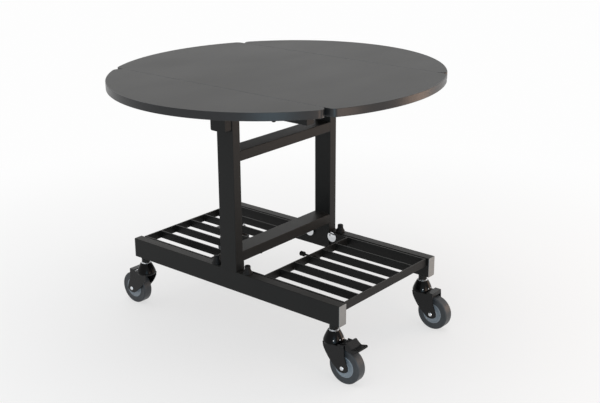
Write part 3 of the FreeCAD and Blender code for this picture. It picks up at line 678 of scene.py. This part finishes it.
for node, seams in board_seams.items():
    sheet_rings = [(band_thickness + laminate_ease, board_bottom),
                   (band_thickness, board_bottom + laminate_ease),
                   (band_thickness, board_top - laminate_ease),
                   (band_thickness + laminate_ease, board_top)]
    board = capped(np.array([ring_at(seams, *ring) for ring in sheet_rings]))
    piece_from_shapes(node + "_laminated_board", [board], "dark_laminate", node)
    lower = quarter_round((band_round, board_bottom + band_round), band_round, 270, end=180)
    upper = quarter_round((band_round, board_top - band_round), band_round, 180, end=90)
    band_rings = [(band_thickness, board_bottom), *lower, *upper, (band_thickness, board_top)]
    rings = np.array([ring_at(seams, *ring) for ring in band_rings])
    band = (rings.reshape(-1, 3), [ring_faces(len(rings), rings.shape[1], closed=True)])
    piece_from_shapes(node + "_edge_band", [band], "edge_band", node, stands_in=False)
print("oval", round(2 * half_length / MM), "x", round(2 * half_width / MM), "mm, seam gap",
      round(2 * seam_gap_half / MM, 2), "mm")

# %% [markdown]
# ## The welded tube frame
#
# Drawn steel tube has rounded long edges: 2 mm on a 60 x 30 mm tube. A tube here is one rounded
# rectangle pushed along the node's longest side. Where two tubes meet, the real frame is welded:
# flush joints are ground smooth, which fills the groove between the rounded edges, and inside
# corners keep their small rippled bead under the paint.

# %% Tubes
tube_corner = 2.0 * MM
tube_ease = 0.4 * MM
tubes = {"near_rail": 0, "far_rail": 0, "near_upright": 2, "far_upright": 2,
         "lower_crossbar": 1, "upper_crossbar": 1, "near_top_bar": 0, "far_top_bar": 0}
for node, along in tubes.items():
    tube = bar_between(*node_box(node), along, tube_corner, tube_ease)
    piece_from_shapes(node + "_tube", [tube], "black_powder_coat", node)
print("tubes:", len(tubes))

# %% Ground joints and weld beads
upright_low, upright_high = node_box("far_upright")
rail_low, rail_high = node_box("far_rail")
post_half = upright_high[0]
inner_face = upright_low[1]
outer_face = upright_high[1]
sunk = 0.02 * MM


def ground_joint(middle, half, along):
    """A small square bar that fills the groove of a flush joint, a hair below the faces."""
    middle = np.asarray(middle, float)
    reach = np.full(3, tube_corner / 2 + 0.2 * MM)
    reach[along] = half
    return bar_between(middle - reach, middle + reach, along, 0.3 * MM)


def weld_bead(start, end, radius, ripple=2.2 * MM):
    """A rippled bead: at distance s its radius is radius (0.9 + 0.1 |sin(pi s / ripple)|),
    and it closes to a round point over the last radius at each end."""
    start = np.asarray(start, float)
    run = np.asarray(end, float) - start
    length = np.linalg.norm(run)
    axis = run / length
    s = np.linspace(0, length, max(12, int(length / ripple * 5)))
    edge = np.clip(np.minimum(s, length - s) / (1.5 * radius), 0.02, 1)
    size = radius * (0.9 + 0.1 * np.abs(np.sin(np.pi * s / ripple))) * np.sqrt(1 - (1 - edge) ** 2)
    return capped(start + s[:, None, None] * axis + size[:, None, None] * spokes(axis, 12)[None])


joint_inset = tube_corner / 2 + sunk
bead_radius = 1.7 * MM
bar_bottom = node_box("far_top_bar")[0][2]
flat_half = post_half - tube_corner
joints = []
beads = []
for side in (-1, 1):
    for face in (outer_face, inner_face):
        inwards = joint_inset if face == inner_face else -joint_inset
        for height in (rail_high[2], bar_bottom):
            joints.append(ground_joint((0, side * (face + inwards), height), flat_half, 0))
    for crossbar in ("lower_crossbar", "upper_crossbar"):
        bar_low, bar_high = node_box(crossbar)
        middle = (bar_low[2] + bar_high[2]) / 2
        tall = (bar_high[2] - bar_low[2]) / 2 - tube_corner
        for end in (-1, 1):
            joints.append(ground_joint((end * (post_half - joint_inset), side * inner_face,
                                        middle), tall, 2))
        for height in (bar_low[2], bar_high[2]):
            beads.append(weld_bead((-flat_half, side * inner_face, height),
                                   (flat_half, side * inner_face, height), bead_radius))
piece_from_shapes("ground_frame_joints", joints, "black_powder_coat", "near_upright",
                  stands_in=False)
piece_from_shapes("frame_weld_beads", beads, "black_powder_coat", "near_upright",
                  stands_in=False)
print("ground joints:", len(joints), "beads:", len(beads))

# %% [markdown]
# ## Caps, bumpers and small rubber parts
#
# Moulded parts have a generous radius on every outside edge, because a mould needs it. The end
# caps are thin plates over the tube ends. The bumpers beside the uprights are turned shapes, like
# small bells: a skirt as wide as the rail, a hollow flare and a straight neck with a domed top.
# A lathe makes them from one profile, whose flare is a sine curve.

# %% End caps
cap_ease = 0.5 * MM
cap_plate = 1.5 * MM
for node, finish in (("rail_end_caps", "grey_cap"), ("top_bar_caps", "black_cap")):
    shapes = []
    for low, high in solid_boxes(node):
        if high[0] > 0:
            low[0] = high[0] - cap_plate
        else:
            high[0] = low[0] + cap_plate
        shapes.append(bar_between(low, high, 0, tube_corner, cap_ease))
    piece_from_shapes(node + "_moulded", shapes, finish, node)
    print(node, len(shapes))

# %% Bumpers on the rails
skirt_tall = 4.0 * MM
flare_top = 16.0 * MM
crown = 2.6 * MM
neck_share = 8.8 / 14.0
rubber = []
rim = 0.5 * MM
for low, high, middle in solids("rail_bumpers"):
    skirt = (high[0] - low[0]) / 2
    neck = skirt * neck_share
    tall = high[2] - low[2]
    t = np.linspace(0, 1, 11)
    flare_radius = skirt + (neck - skirt) * np.sin(np.pi / 2 * t) ** 1.2
    profile = [(0, 0), (skirt - rim, 0), (skirt, rim),
               *zip(flare_radius, skirt_tall + t * (flare_top - skirt_tall)),
               *quarter_round((neck - crown, tall - crown), crown, 0), (0, tall)]
    rubber.append(lathe(profile, (middle[0], middle[1], low[2]), UP, around=48))
piece_from_shapes("rail_bumpers_moulded", rubber, "black_rubber", "rail_bumpers")
print("bumpers:", len(rubber))

# %% Buffers under the leaves
buffer_tip = 5 * MM
buffer_round = 1.5 * MM
straight_share = 0.4
for node in ("near_leaf_buffers", "far_leaf_buffers"):
    shapes = []
    for low, high, middle in solids(node):
        radius = (high[0] - low[0]) / 2
        tall = high[2] - low[2]
        tip = quarter_round((buffer_tip - buffer_round, buffer_round - tall), buffer_round, 0,
                            end=-90)
        profile = [(0, 0), (radius, 0), (radius, -straight_share * tall), *tip, (0, -tall)]
        shapes.append(lathe(profile, (middle[0], middle[1], high[2]), UP, around=32))
    piece_from_shapes(node + "_moulded", shapes, "black_rubber", node)

# %% [markdown]
# ## The folding shelves
#
# The shelves are welded from flat bar set on edge. Hot-rolled flat bar has a small radius on its
# long edges, which is what draws the thin light lines in the photograph. The cross bars and
# slats are straight, so each is one bar. The side bars have a round shoulder at the pivot and
# keep their construction outline, with bevelled edges.

# %% Cross bars and slats
bar_edge = 0.7 * MM
for side in ("right", "left"):
    for group, along in (("shelf_end_bars", 1), ("shelf_slats", 0)):
        node = side + "_" + group
        shapes = [bar_between(low, high, along, bar_edge, 0.3 * MM)
                  for low, high in solid_boxes(node)]
        piece_from_shapes(node + "_rolled", shapes, "black_powder_coat", node)
        print(node, len(shapes))

# %% Small welds where the slats meet the cross bars
shelf_bead = 0.9 * MM
bead_above_foot = 3 * MM
bead_below_top = 2 * MM
for side in ("right", "left"):
    node = side + "_shelf_slats"
    shapes = []
    for low, high in solid_boxes(node):
        for x in (low[0], high[0]):
            for y in (low[1], high[1]):
                shapes.append(weld_bead((x, y, low[2] + bead_above_foot),
                                        (x, y, high[2] - bead_below_top), shelf_bead))
    piece_from_shapes(side + "_shelf_weld_beads", shapes, "black_powder_coat", node,
                      stands_in=False)

# %% [markdown]
# ## Bolts, screws and the shelf stop
#
# Each bright dot of the photograph is a turned or headed part. A domed head is a short arc in
# the profile of a lathe. A recess can't be turned: the screw heads are a polar grid whose height
# is a dome minus a cross-shaped hollow, so the drive shows from below without any cutting.

# %% Pivot bolts of the shelves
bolt_heads = []
bolt_shanks = []
head_radius = 16.0 * MM
head_tall = 2.5 * MM
head_edge = 0.35 * MM
shank_radius = 5.0 * MM
collar_radius = 9.0 * MM
collar_tall = 3.6 * MM
collar_from_end = 6.0 * MM
for low, high, middle in solids("shelf_pivot_bolts"):
    inwards = np.array((0, np.sign(middle[1]), 0.0))
    face = abs(low if middle[1] > 0 else high)[1]
    length = high[1] - low[1]
    t = np.linspace(0, 1, 12)[1:]
    dome = [(head_radius * share, (head_tall - head_edge) * share ** 2) for share in t]
    start = np.array((middle[0], inwards[1] * face, middle[2]))
    head = [(0, 0), *dome, (head_radius, head_tall), (0, head_tall)]
    bolt_heads.append(lathe(head, start, inwards, around=64))
    tail = length - collar_from_end
    collar = tail - collar_tall
    shank = [(0, head_tall), (shank_radius, head_tall), (shank_radius, collar),
             (collar_radius, collar), (collar_radius, tail), (shank_radius, tail),
             (shank_radius, length), (0, length)]
    bolt_shanks.append(lathe(shank, start, inwards, around=40))
piece_from_shapes("shelf_pivot_bolt_heads", bolt_heads, "polished_steel",
                  "shelf_pivot_bolts")
piece_from_shapes("shelf_pivot_bolt_shanks", bolt_shanks, "zinc_steel",
                  "shelf_pivot_bolts", stands_in=False)
print("pivot bolts:", len(bolt_heads))


# %% Cross-recessed screws
def cross_screw(foot, head, shank, head_height, length):
    """A pan-head screw driven upwards; foot is the centre of the head's flat side.

    Over the head the height is H (1 - 0.35 r^2) - D m, with r the share of the head's radius.
    m is 1 inside a cross and 0 outside it: the larger of two products of clipped ramps."""
    axis = np.array(UP, float)
    around = 32
    spoke = spokes(UP, around)
    angle = np.linspace(0, 2 * np.pi, around, endpoint=False)
    share = np.array([0.04, 0.14, 0.24, 0.36, 0.50, 0.60, 0.72, 0.86, 0.96, 1.0])[:, None]
    x = share * np.cos(angle)
    y = share * np.sin(angle)

    def arm(along, across):
        return (np.clip((0.62 - np.abs(along)) / 0.12, 0, 1)
                * np.clip((0.20 - np.abs(across)) / 0.10, 0, 1))

    cross = np.maximum(arm(x, y), arm(y, x))
    height = head_height * (1 - 0.35 * share ** 2) - 0.6 * head_height * cross
    height[-1] = head_height * 0.5
    rings = [foot + head * s * spoke - h[:, None] * axis for s, h in zip(share[:, 0], height)]
    tip = 0.2 * shank
    for radius, depth in ((head, 0.0), (shank, 0.0), (shank, length - shank), (tip, length)):
        rings.append(foot + radius * spoke + depth * axis)
    return capped(np.array(rings))


large_head = 5 * MM
for node in ("underside_screws", "near_leaf_screws", "far_leaf_screws"):
    shapes = []
    for low, high, middle in solids(node):
        radius = (high[0] - low[0]) / 2
        large = radius > large_head
        head_height = (3.0 if large else 1.6) * MM
        shank = (3.0 if large else 2.0) * MM
        foot = np.array((middle[0], middle[1], low[2] + head_height))
        shapes.append(cross_screw(foot, radius, shank, head_height, high[2] - foot[2]))
    piece_from_shapes(node + "_headed", shapes, "zinc_steel", node)
    print(node, len(shapes))

# %% Shelf stops: rubber head, threaded stud and two hexagon nuts
stud_radius = 3.0 * MM
nut_across = 5.5 * MM
nut_tall = 5.0 * MM
thread_pitch = 1.5 * MM
knob = 7.5 * MM
knob_length = 16 * MM
knob_waist = 0.7 * MM
shelf_bar = 5 * MM
for side, turn in (("right", 1), ("left", -1)):
    node = side + "_shelf_stop"
    boxes = solid_boxes(node)
    low = boxes[:, 0].min(axis=0)
    high = boxes[:, 1].max(axis=0)
    middle = (low + high) / 2
    start_x = low[0] if turn > 0 else high[0]
    origin = np.array((start_x, middle[1], middle[2]))
    axis = (turn, 0, 0)
    total = high[0] - low[0]
    profile = [(0, 0), *quarter_round((knob - 2.5 * MM, 2.5 * MM), 2.5 * MM, -90, end=0),
               (knob, 5 * MM), (knob - knob_waist, 6 * MM), (knob - knob_waist, 10 * MM),
               (knob, 11 * MM), *quarter_round((knob - 2 * MM, knob_length - 2 * MM), 2 * MM, 0),
               (0, knob_length)]
    piece_from_shapes(side + "_stop_head", [lathe(profile, origin, axis, around=40)],
                      "black_rubber", node)
    turns = np.arange(knob_length, total - 0.8 * MM, thread_pitch / 2)
    ridge = np.where(np.arange(len(turns)) % 2 == 0, stud_radius, stud_radius - 0.45 * MM)
    thread = [(0, knob_length), *zip(ridge, turns), (stud_radius - 0.9 * MM, total), (0, total)]
    shapes = [lathe(thread, origin, axis, around=24)]
    bar_face = abs(node_box(side + "_shelf_end_bars")[0 if turn > 0 else 1][0])
    inner_bar = bar_face - abs(start_x)
    for begin in (inner_bar - nut_tall, inner_bar + shelf_bar):
        nut = chamfered(nut_across, begin, begin + nut_tall, 0.6 * MM, 0.5 * MM)
        shapes.append(lathe(nut, origin, axis, around=6))
    piece_from_shapes(side + "_stop_stud", shapes, "black_powder_coat", node,
                      stands_in=False)

# %% [markdown]
# ## The casters
#
# A caster hangs from a bush welded into the rail. Its bright stem flange sits under the bush, a
# domed cover hides the ball race, and the fork turns below it. The cover is a lathe with an arc
# for its side, and small rivet heads stand on the side where the wheel trails, because the
# photograph shows bright dots there. Wheels are lathes too: a soft tyre with a firm shoulder on
# a dished plastic hub.

# %% Sockets
socket_rim = 0.6 * MM
socket_bead = 1.6 * MM
shapes = []
for low, high, middle in solids("caster_sockets"):
    radius = (high[0] - low[0]) / 2
    tall = high[2] - low[2]
    foot = (middle[0], middle[1], low[2])
    profile = [(0, 0), (radius - socket_rim, 0), (radius, socket_rim), (radius, tall), (0, tall)]
    bead = quarter_round((radius, rail_low[2] - low[2]), socket_bead, 0, steps=10, end=330)
    shapes += [lathe(profile, foot, UP, around=48), lathe(bead, foot, UP, around=48)]
piece_from_shapes("caster_sockets_welded", shapes, "black_powder_coat", "caster_sockets")

# %% Stems, their flange rings and the nuts under them
stem_radius = 6 * MM
stem_nut = 10 * MM
stem_nut_tall = 8 * MM
nut_chamfer = 0.8 * MM
ring_tall = 3 * MM
ring_edge = 0.3 * MM
stem_shapes = []
ring_shapes = []
for (low, high, middle), (_, crown_high, _) in zip(solids("caster_stems"),
                                                   solids("caster_crowns")):
    flange = (high[0] - low[0]) / 2
    ring_foot = crown_high[2]
    neck = ring_foot + ring_tall
    foot = np.array((middle[0], middle[1], 0))
    nut_top = low[2] + stem_nut_tall
    shank = [(0, nut_top), (stem_radius, nut_top), (stem_radius, high[2]), (0, high[2])]
    nut = chamfered(stem_nut, low[2], nut_top, nut_chamfer, nut_chamfer)
    stem_shapes += [lathe(shank, foot, UP, around=48), lathe(nut, foot, UP, around=6)]
    ring = [(stem_radius, ring_foot), (flange - ring_edge, ring_foot),
            (flange, ring_foot + ring_edge), (flange, neck - 1.9 * MM),
            (flange - 2.4 * MM, neck - 0.1 * MM), (flange - 2.6 * MM, neck), (stem_radius, neck)]
    ring_shapes.append(lathe(ring, foot, UP, around=48))
piece_from_shapes("caster_stems_turned", stem_shapes, "zinc_steel", "caster_stems")
piece_from_shapes("caster_stem_flanges", ring_shapes, "satin_zinc", "caster_stems",
                  stands_in=False)

# %% Crowns and their rivets
crown_top = 16.5 * MM
crown_skirt = 3 * MM
crown_bulge = 1.1 * MM
crown_edge = 0.5 * MM
rivet_turns = (-54, -14, 14, 54)
rivet_seat = 0.24
rivet_tilt = math.radians(32)
rivet_sunk = 0.2 * MM
rivet = [(0, -0.6 * MM), (1.7 * MM, -0.6 * MM),
         *quarter_round((0.9 * MM, 0), 0.8 * MM, 0, steps=3), (0, 0.8 * MM)]
crown_shapes = []
rivet_shapes = []
for low, high, middle in solids("caster_crowns"):
    foot = np.array((middle[0], middle[1], 0))
    outer = (high[0] - low[0]) / 2
    t = np.linspace(0, 1, 14)
    radius = np.minimum(outer + (crown_top - outer) * t + 4 * crown_bulge * t * (1 - t), outer)
    height = low[2] + crown_skirt + (high[2] - low[2] - crown_skirt) * t
    profile = [(0, low[2]), (outer - crown_edge, low[2]), (outer, low[2] + crown_edge),
               *zip(radius, height), (0, high[2])]
    crown_shapes.append(lathe(profile, foot, UP, around=64))
    seat = np.interp(rivet_seat, t, radius)
    seat_height = np.interp(rivet_seat, t, height)
    for turn in rivet_turns:
        angle = math.radians(turn if middle[0] > 0 else turn + 180)
        level = np.array((math.cos(angle), math.sin(angle), 0.0))
        outward = level * math.cos(rivet_tilt) + np.array(UP) * math.sin(rivet_tilt)
        place = foot + level * seat + np.array(UP) * seat_height
        rivet_shapes.append(lathe(rivet, place - outward * rivet_sunk, outward, around=14))
piece_from_shapes("caster_crowns_pressed", crown_shapes, "crown_black", "caster_crowns")
piece_from_shapes("caster_crown_rivets", rivet_shapes, "zinc_steel", "caster_crowns",
                  stands_in=False)
print("crowns:", len(crown_shapes), "rivets:", len(rivet_shapes))

# %% Wheels
wheel_radius = 50 * MM
hub_outer = 31 * MM
tyre_shoulder = 4 * MM
tyre_dish = 0.8 * MM
tread = wheel_radius - 0.15 * MM
hub_rim = 15 * MM
hub_web = 13 * MM
hub_bore = 6.2 * MM
axle_radius = 4 * MM
axle_head = 6 * MM
leg_face = 23.8 * MM
spacer_half = 20.8 * MM
head_side = 1 * MM
corner_names = ("near_right", "near_left", "far_right", "far_left")


def mirrored(profile):
    """The same profile on the other side of the wheel's middle, in the opposite order."""
    return [(radius, -depth) for radius, depth in profile[::-1]]


for corner in corner_names:
    node = corner + "_tyre"
    low, high = node_box(node)
    middle = (low + high) / 2
    half = (high[1] - low[1]) / 2
    dish = np.linspace(0, 1, 8)
    flat = wheel_radius - tyre_shoulder
    wall = [*zip(hub_outer + (flat - hub_outer) * dish, half - tyre_dish * np.sin(np.pi * dish)),
            *quarter_round((flat, half - tyre_shoulder), tyre_shoulder, 90, steps=6, end=0)[1:-1],
            (tread, half - tyre_shoulder), (tread, 0.5 * MM)]
    tyre = lathe([*wall, (wheel_radius, 0.0), *mirrored(wall)], middle, ACROSS, around=96)
    piece_from_shapes(corner + "_tyre_moulded", [tyre], "tyre_grey", node)

    node = corner + "_hub"
    low, high = node_box(node)
    half = (high[1] - low[1]) / 2
    face = [(hub_bore, half - 0.4 * MM), (hub_bore + 0.4 * MM, half), (12.2 * MM, half),
            (13 * MM, half - 0.8 * MM), (14.6 * MM, hub_web + 1.2 * MM),
            (16 * MM, hub_web + 0.2 * MM), (18 * MM, hub_web), (24.5 * MM, hub_web),
            (26 * MM, hub_web + 0.5 * MM), (27 * MM, hub_rim - 0.8 * MM), (27.8 * MM, hub_rim),
            (30.2 * MM, hub_rim), (hub_outer, hub_rim - 0.8 * MM)]
    hub = lathe([*face, *mirrored(face)], middle, ACROSS, around=80)
    piece_from_shapes(corner + "_hub_moulded", [hub], "hub_grey", node)

    node = corner + "_axle"
    low, high = node_box(node)
    half = (high[1] - low[1]) / 2
    dome = half - leg_face - head_side
    side = [(axle_head, leg_face),
            *[(axle_head * math.cos(angle), leg_face + head_side + dome * math.sin(angle))
              for angle in np.linspace(0, np.pi / 2, 7)[:-1]], (0, half)]
    inner = [(axle_head, spacer_half), (axle_radius, spacer_half), (axle_radius, leg_face)]
    profile = [*mirrored(side), *mirrored(inner), *inner, *side]
    axle = lathe(profile, middle, ACROSS, around=40)
    piece_from_shapes(corner + "_axle_headed", [axle], "zinc_steel", node)
print("wheels:", len(corner_names))

# %% [markdown]
# ## The brake pedals
#
# The pedal is one moulded lever: narrow between the fork's legs, a raised ridge to release the
# brake, then a dished foot plate that widens behind the fork. Its sides are lofted sections, as
# a sculptor would draw them: at each step back along the pedal the section is a rounded block
# with its own height and width, and the foot plate's top sinks between its two long edges.

# %% Pedal outlines, in millimetres: (distance behind the stem, height or half width)
pedal_top = [(33, 4.5), (35, 6), (48, 7), (52, 9.5), (56, 14.4), (58.5, 17.3), (60.5, 15.6),
             (68, 8.6), (74, 3.6), (78, 3.4), (84, 5), (93, 7), (97, 6.8), (99.5, 5.6)]
pedal_foot = [(33, -5.5), (35, -7), (46, -7.5), (60, -7), (76.5, -9.4), (80, -7), (88, -2.5),
              (98.5, 1.5), (99.5, 3.0)]
pedal_width = [(33, 20.2), (54.8, 20.2), (57, 23.7), (93, 23.7), (96, 22.6), (98.6, 20),
               (99.5, 18)]
pedal_front = 33 * MM
pedal_toe = 99.5 * MM
pedal_pivot = 42 * MM
pedal_level = 110.7 * MM
pivot_level = 110 * MM
end_ease = 1.0 * MM
end_narrow = 1.5 * MM
dish_deep = 1.6 * MM
dish_start = 70 * MM
dish_ramp = 8 * MM
dish_stop = 7 * MM
journal_radius = 4 * MM
journal_chamfer = 0.6 * MM
section_power = 7


def along_pedal(outline, back):
    """The outline's height or half width in metres at each distance behind the stem."""
    places, values = np.array(outline).T * MM
    return np.interp(back, places, values)


def signed_root(value):
    """sign(v) |v|^(2 / n): it turns a circle into the rounded block |y|^n + |z|^n = 1."""
    return np.sign(value) * np.abs(value) ** (2 / section_power)


def pedal_shape(stem_x, heading, centre_y):
    """Sections across the pedal, from the front to the toe.

    Each section is the curve |y / w|^n + |z / h|^n = 1 about its own middle height, with n = 7,
    and its upper half sinks by dish (1 - (y / w)^2). A last, smaller section closes the toe."""
    share = np.concatenate([np.linspace(0, 1, 54), [1.0]])
    back = pedal_front + (pedal_toe - pedal_front) * share
    top = along_pedal(pedal_top, back)
    foot = along_pedal(pedal_foot, back)
    width = along_pedal(pedal_width, back)
    dish = (dish_deep * np.clip((back - dish_start) / dish_ramp, 0, 1)
            * np.clip((pedal_toe - back) / dish_stop, 0, 1))
    top[-1] -= end_ease
    foot[-1] += end_ease
    width[-1] -= end_narrow
    angle = np.linspace(0, 2 * np.pi, 48, endpoint=False)
    y = signed_root(np.cos(angle))[None]
    z = signed_root(np.sin(angle))[None]
    middle = ((top + foot) / 2)[:, None]
    half = ((top - foot) / 2)[:, None]
    height = pedal_level + middle + half * z - (z > 0) * dish[:, None] * (1 - y ** 2)
    across = centre_y + width[:, None] * y
    along = np.repeat((stem_x + heading * back)[:, None], len(angle), axis=1)
    return capped(np.stack([along, across, height], axis=-1))


# %% Pedals on their journals
for corner in ("near_right", "far_left"):
    node = corner + "_brake_pedal"
    low, high = node_box(node)
    heading = 1 if high[0] > 0 else -1
    stem_x = (high[0] if heading > 0 else low[0]) - heading * pedal_toe
    centre_y = (low[1] + high[1]) / 2
    pivot = (stem_x + heading * pedal_pivot, centre_y, pivot_level)
    journal = chamfered(journal_radius, low[1] - centre_y, high[1] - centre_y, journal_chamfer,
                        journal_chamfer)
    shapes = [pedal_shape(stem_x, heading, centre_y), lathe(journal, pivot, ACROSS, around=32)]
    piece_from_shapes(node + "_moulded", shapes, "fork_black", node)
print("pedals: 2")

# %% [markdown]
# ## Pieces that keep their construction shape
#
# Bent and pressed pieces such as the forks, the hinge plates and the yoke arms already have their
# true outline. What they lack is the small radius that every real edge has. A copy of the mesh is
# merged, its flat faces are joined, and a live bevel rounds the edges, so light runs along them.

# %% Rounded copy of a construction piece
def rounded_copy(node, finish, edge):
    """A merged copy of a node's mesh with its edges rounded by 'edge' metres."""
    mesh = nodes[node].data.copy()
    shape = bmesh.new()
    shape.from_mesh(mesh)
    bmesh.ops.remove_doubles(shape, verts=shape.verts, dist=0.01 * MM)
    bmesh.ops.dissolve_limit(shape, angle_limit=math.radians(1.0), verts=shape.verts,
                             edges=shape.edges)
    shape.to_mesh(mesh)
    shape.free()
    return finish_piece(node + "_finished", mesh, finish, node, bevel=edge)


edge_of = {"fork": 0.8 * MM, "support_housings": 1.2 * MM, "arm": 0.8 * MM,
           "roller": 0.8 * MM, "side_bars": 0.6 * MM}
kept = [node for node in nodes if not nodes[node].hide_render]
for node in kept:
    edge = 0.35 * MM
    for word, size in edge_of.items():
        if word in node:
            edge = size
    rounded_copy(node, slot_of_node[node], edge)
print("rounded copies:", ", ".join(kept))

# %% [markdown]
# ## Floor and light
#
# A product photograph is lit by large soft panels in a white room. The world is an even white
# light, and soft panels give the edges their shape: a large one overhead, a cool one behind the
# camera that draws the blue streak on the rim, and warm ones to the right that tint the faces
# turned that way. The floor is a pale matt sheet. For the camera and in reflections much of it is
# its own white, so the table's shadow stays faint and far away it fades into the background.

# %% Floor
floor_half = 12.0
floor_mesh = bpy.data.meshes.new("floor")
floor_mesh.from_pydata([(-floor_half, -floor_half, 0), (floor_half, -floor_half, 0),
                        (floor_half, floor_half, 0), (-floor_half, floor_half, 0)], [],
                       [(0, 1, 2, 3)])
floor = bpy.data.objects.new("floor", floor_mesh)
bpy.context.scene.collection.objects.link(floor)
floor_paint = Paint("studio_floor", Roughness=0.9, Specular_IOR_Level=0.0)
floor_paint.shader.inputs["Base Color"].default_value = linear(236, 236, 236)
seeing_rays = ("Is Camera Ray", "Is Glossy Ray", "Is Transmission Ray")
white_share = 0.63
white_strength = 0.985
fade_start = 0.6
fade_end = 2.0
distance = (floor_paint.coordinate("X") ** 2.0 + floor_paint.coordinate("Y") ** 2.0) ** 0.5
path = floor_paint.node("ShaderNodeLightPath").outputs
seen = sum(Field(floor_paint, path[ray]) for ray in seeing_rays)
glow = floor_paint.node("ShaderNodeEmission", {}, {"Strength": white_strength})
blend = floor_paint.node("ShaderNodeMixShader")
fade = white_share + distance.ramp_up(fade_start, fade_end) * (1 - white_share)
floor_paint.feed(blend.inputs[0], fade * seen)
floor_paint.feed(blend.inputs[1], floor_paint.shader.outputs[0])
floor_paint.feed(blend.inputs[2], glow.outputs[0])
output = floor_paint.tree.nodes["Material Output"]
floor_paint.feed(output.inputs["Surface"], blend.outputs[0])
floor_mesh.materials.append(floor_paint.material)
print("floor", 2 * floor_half, "m wide, fading from", fade_start, "to", fade_end, "m")

# %% World and lamps
world_level = 0.62
world = bpy.data.worlds.new("white_room")
world.use_nodes = True
bpy.context.scene.world = world
sky = world.node_tree
room = sky.nodes["Background"]
room.inputs["Color"].default_value = (1, 1, 1, 1)
room.inputs["Strength"].default_value = world_level
white = sky.nodes.new("ShaderNodeBackground")
white.inputs["Color"].default_value = (1, 1, 1, 1)
white.inputs["Strength"].default_value = 1.0
path = sky.nodes.new("ShaderNodeLightPath")
seen = path.outputs[seeing_rays[0]]
for ray in seeing_rays[1:]:
    either = sky.nodes.new("ShaderNodeMath")
    either.operation = "MAXIMUM"
    sky.links.new(seen, either.inputs[0])
    sky.links.new(path.outputs[ray], either.inputs[1])
    seen = either.outputs[0]
choice = sky.nodes.new("ShaderNodeMixShader")
sky.links.new(seen, choice.inputs[0])
sky.links.new(room.outputs[0], choice.inputs[1])
sky.links.new(white.outputs[0], choice.inputs[2])
sky.links.new(choice.outputs[0], sky.nodes["World Output"].inputs["Surface"])


def panel(name, place, aim, size, power, tint):
    """A square soft light that faces the point aim."""
    lamp_data = bpy.data.lights.new(name, "AREA")
    lamp_data.size = size
    lamp_data.energy = power
    lamp_data.color = tint
    lamp = bpy.data.objects.new(name, lamp_data)
    bpy.context.scene.collection.objects.link(lamp)
    lamp.location = place
    lamp.rotation_mode = "QUATERNION"
    lamp.rotation_quaternion = (Vector(aim) - Vector(place)).to_track_quat("-Z", "Y")


panel("overhead_panel", (0.0, 0.0, 2.8), (0, 0, 0), 2.2, 30, (1, 1, 1))
panel("cool_panel", (2.2, -2.3, 0.55), (0, 0, 0.5), 1.0, 19, (0.45, 0.78, 1.0))
panel("warm_panel", (3.1, -0.25, 0.5), (0, 0, 0.5), 0.9, 21, (1.0, 0.72, 0.56))
panel("warm_back_panel", (1.7, 2.0, 0.5), (0, 0, 0.5), 1.0, 13, (1.0, 0.66, 0.46))

scene = bpy.context.scene
scene.view_settings.view_transform = "Standard"
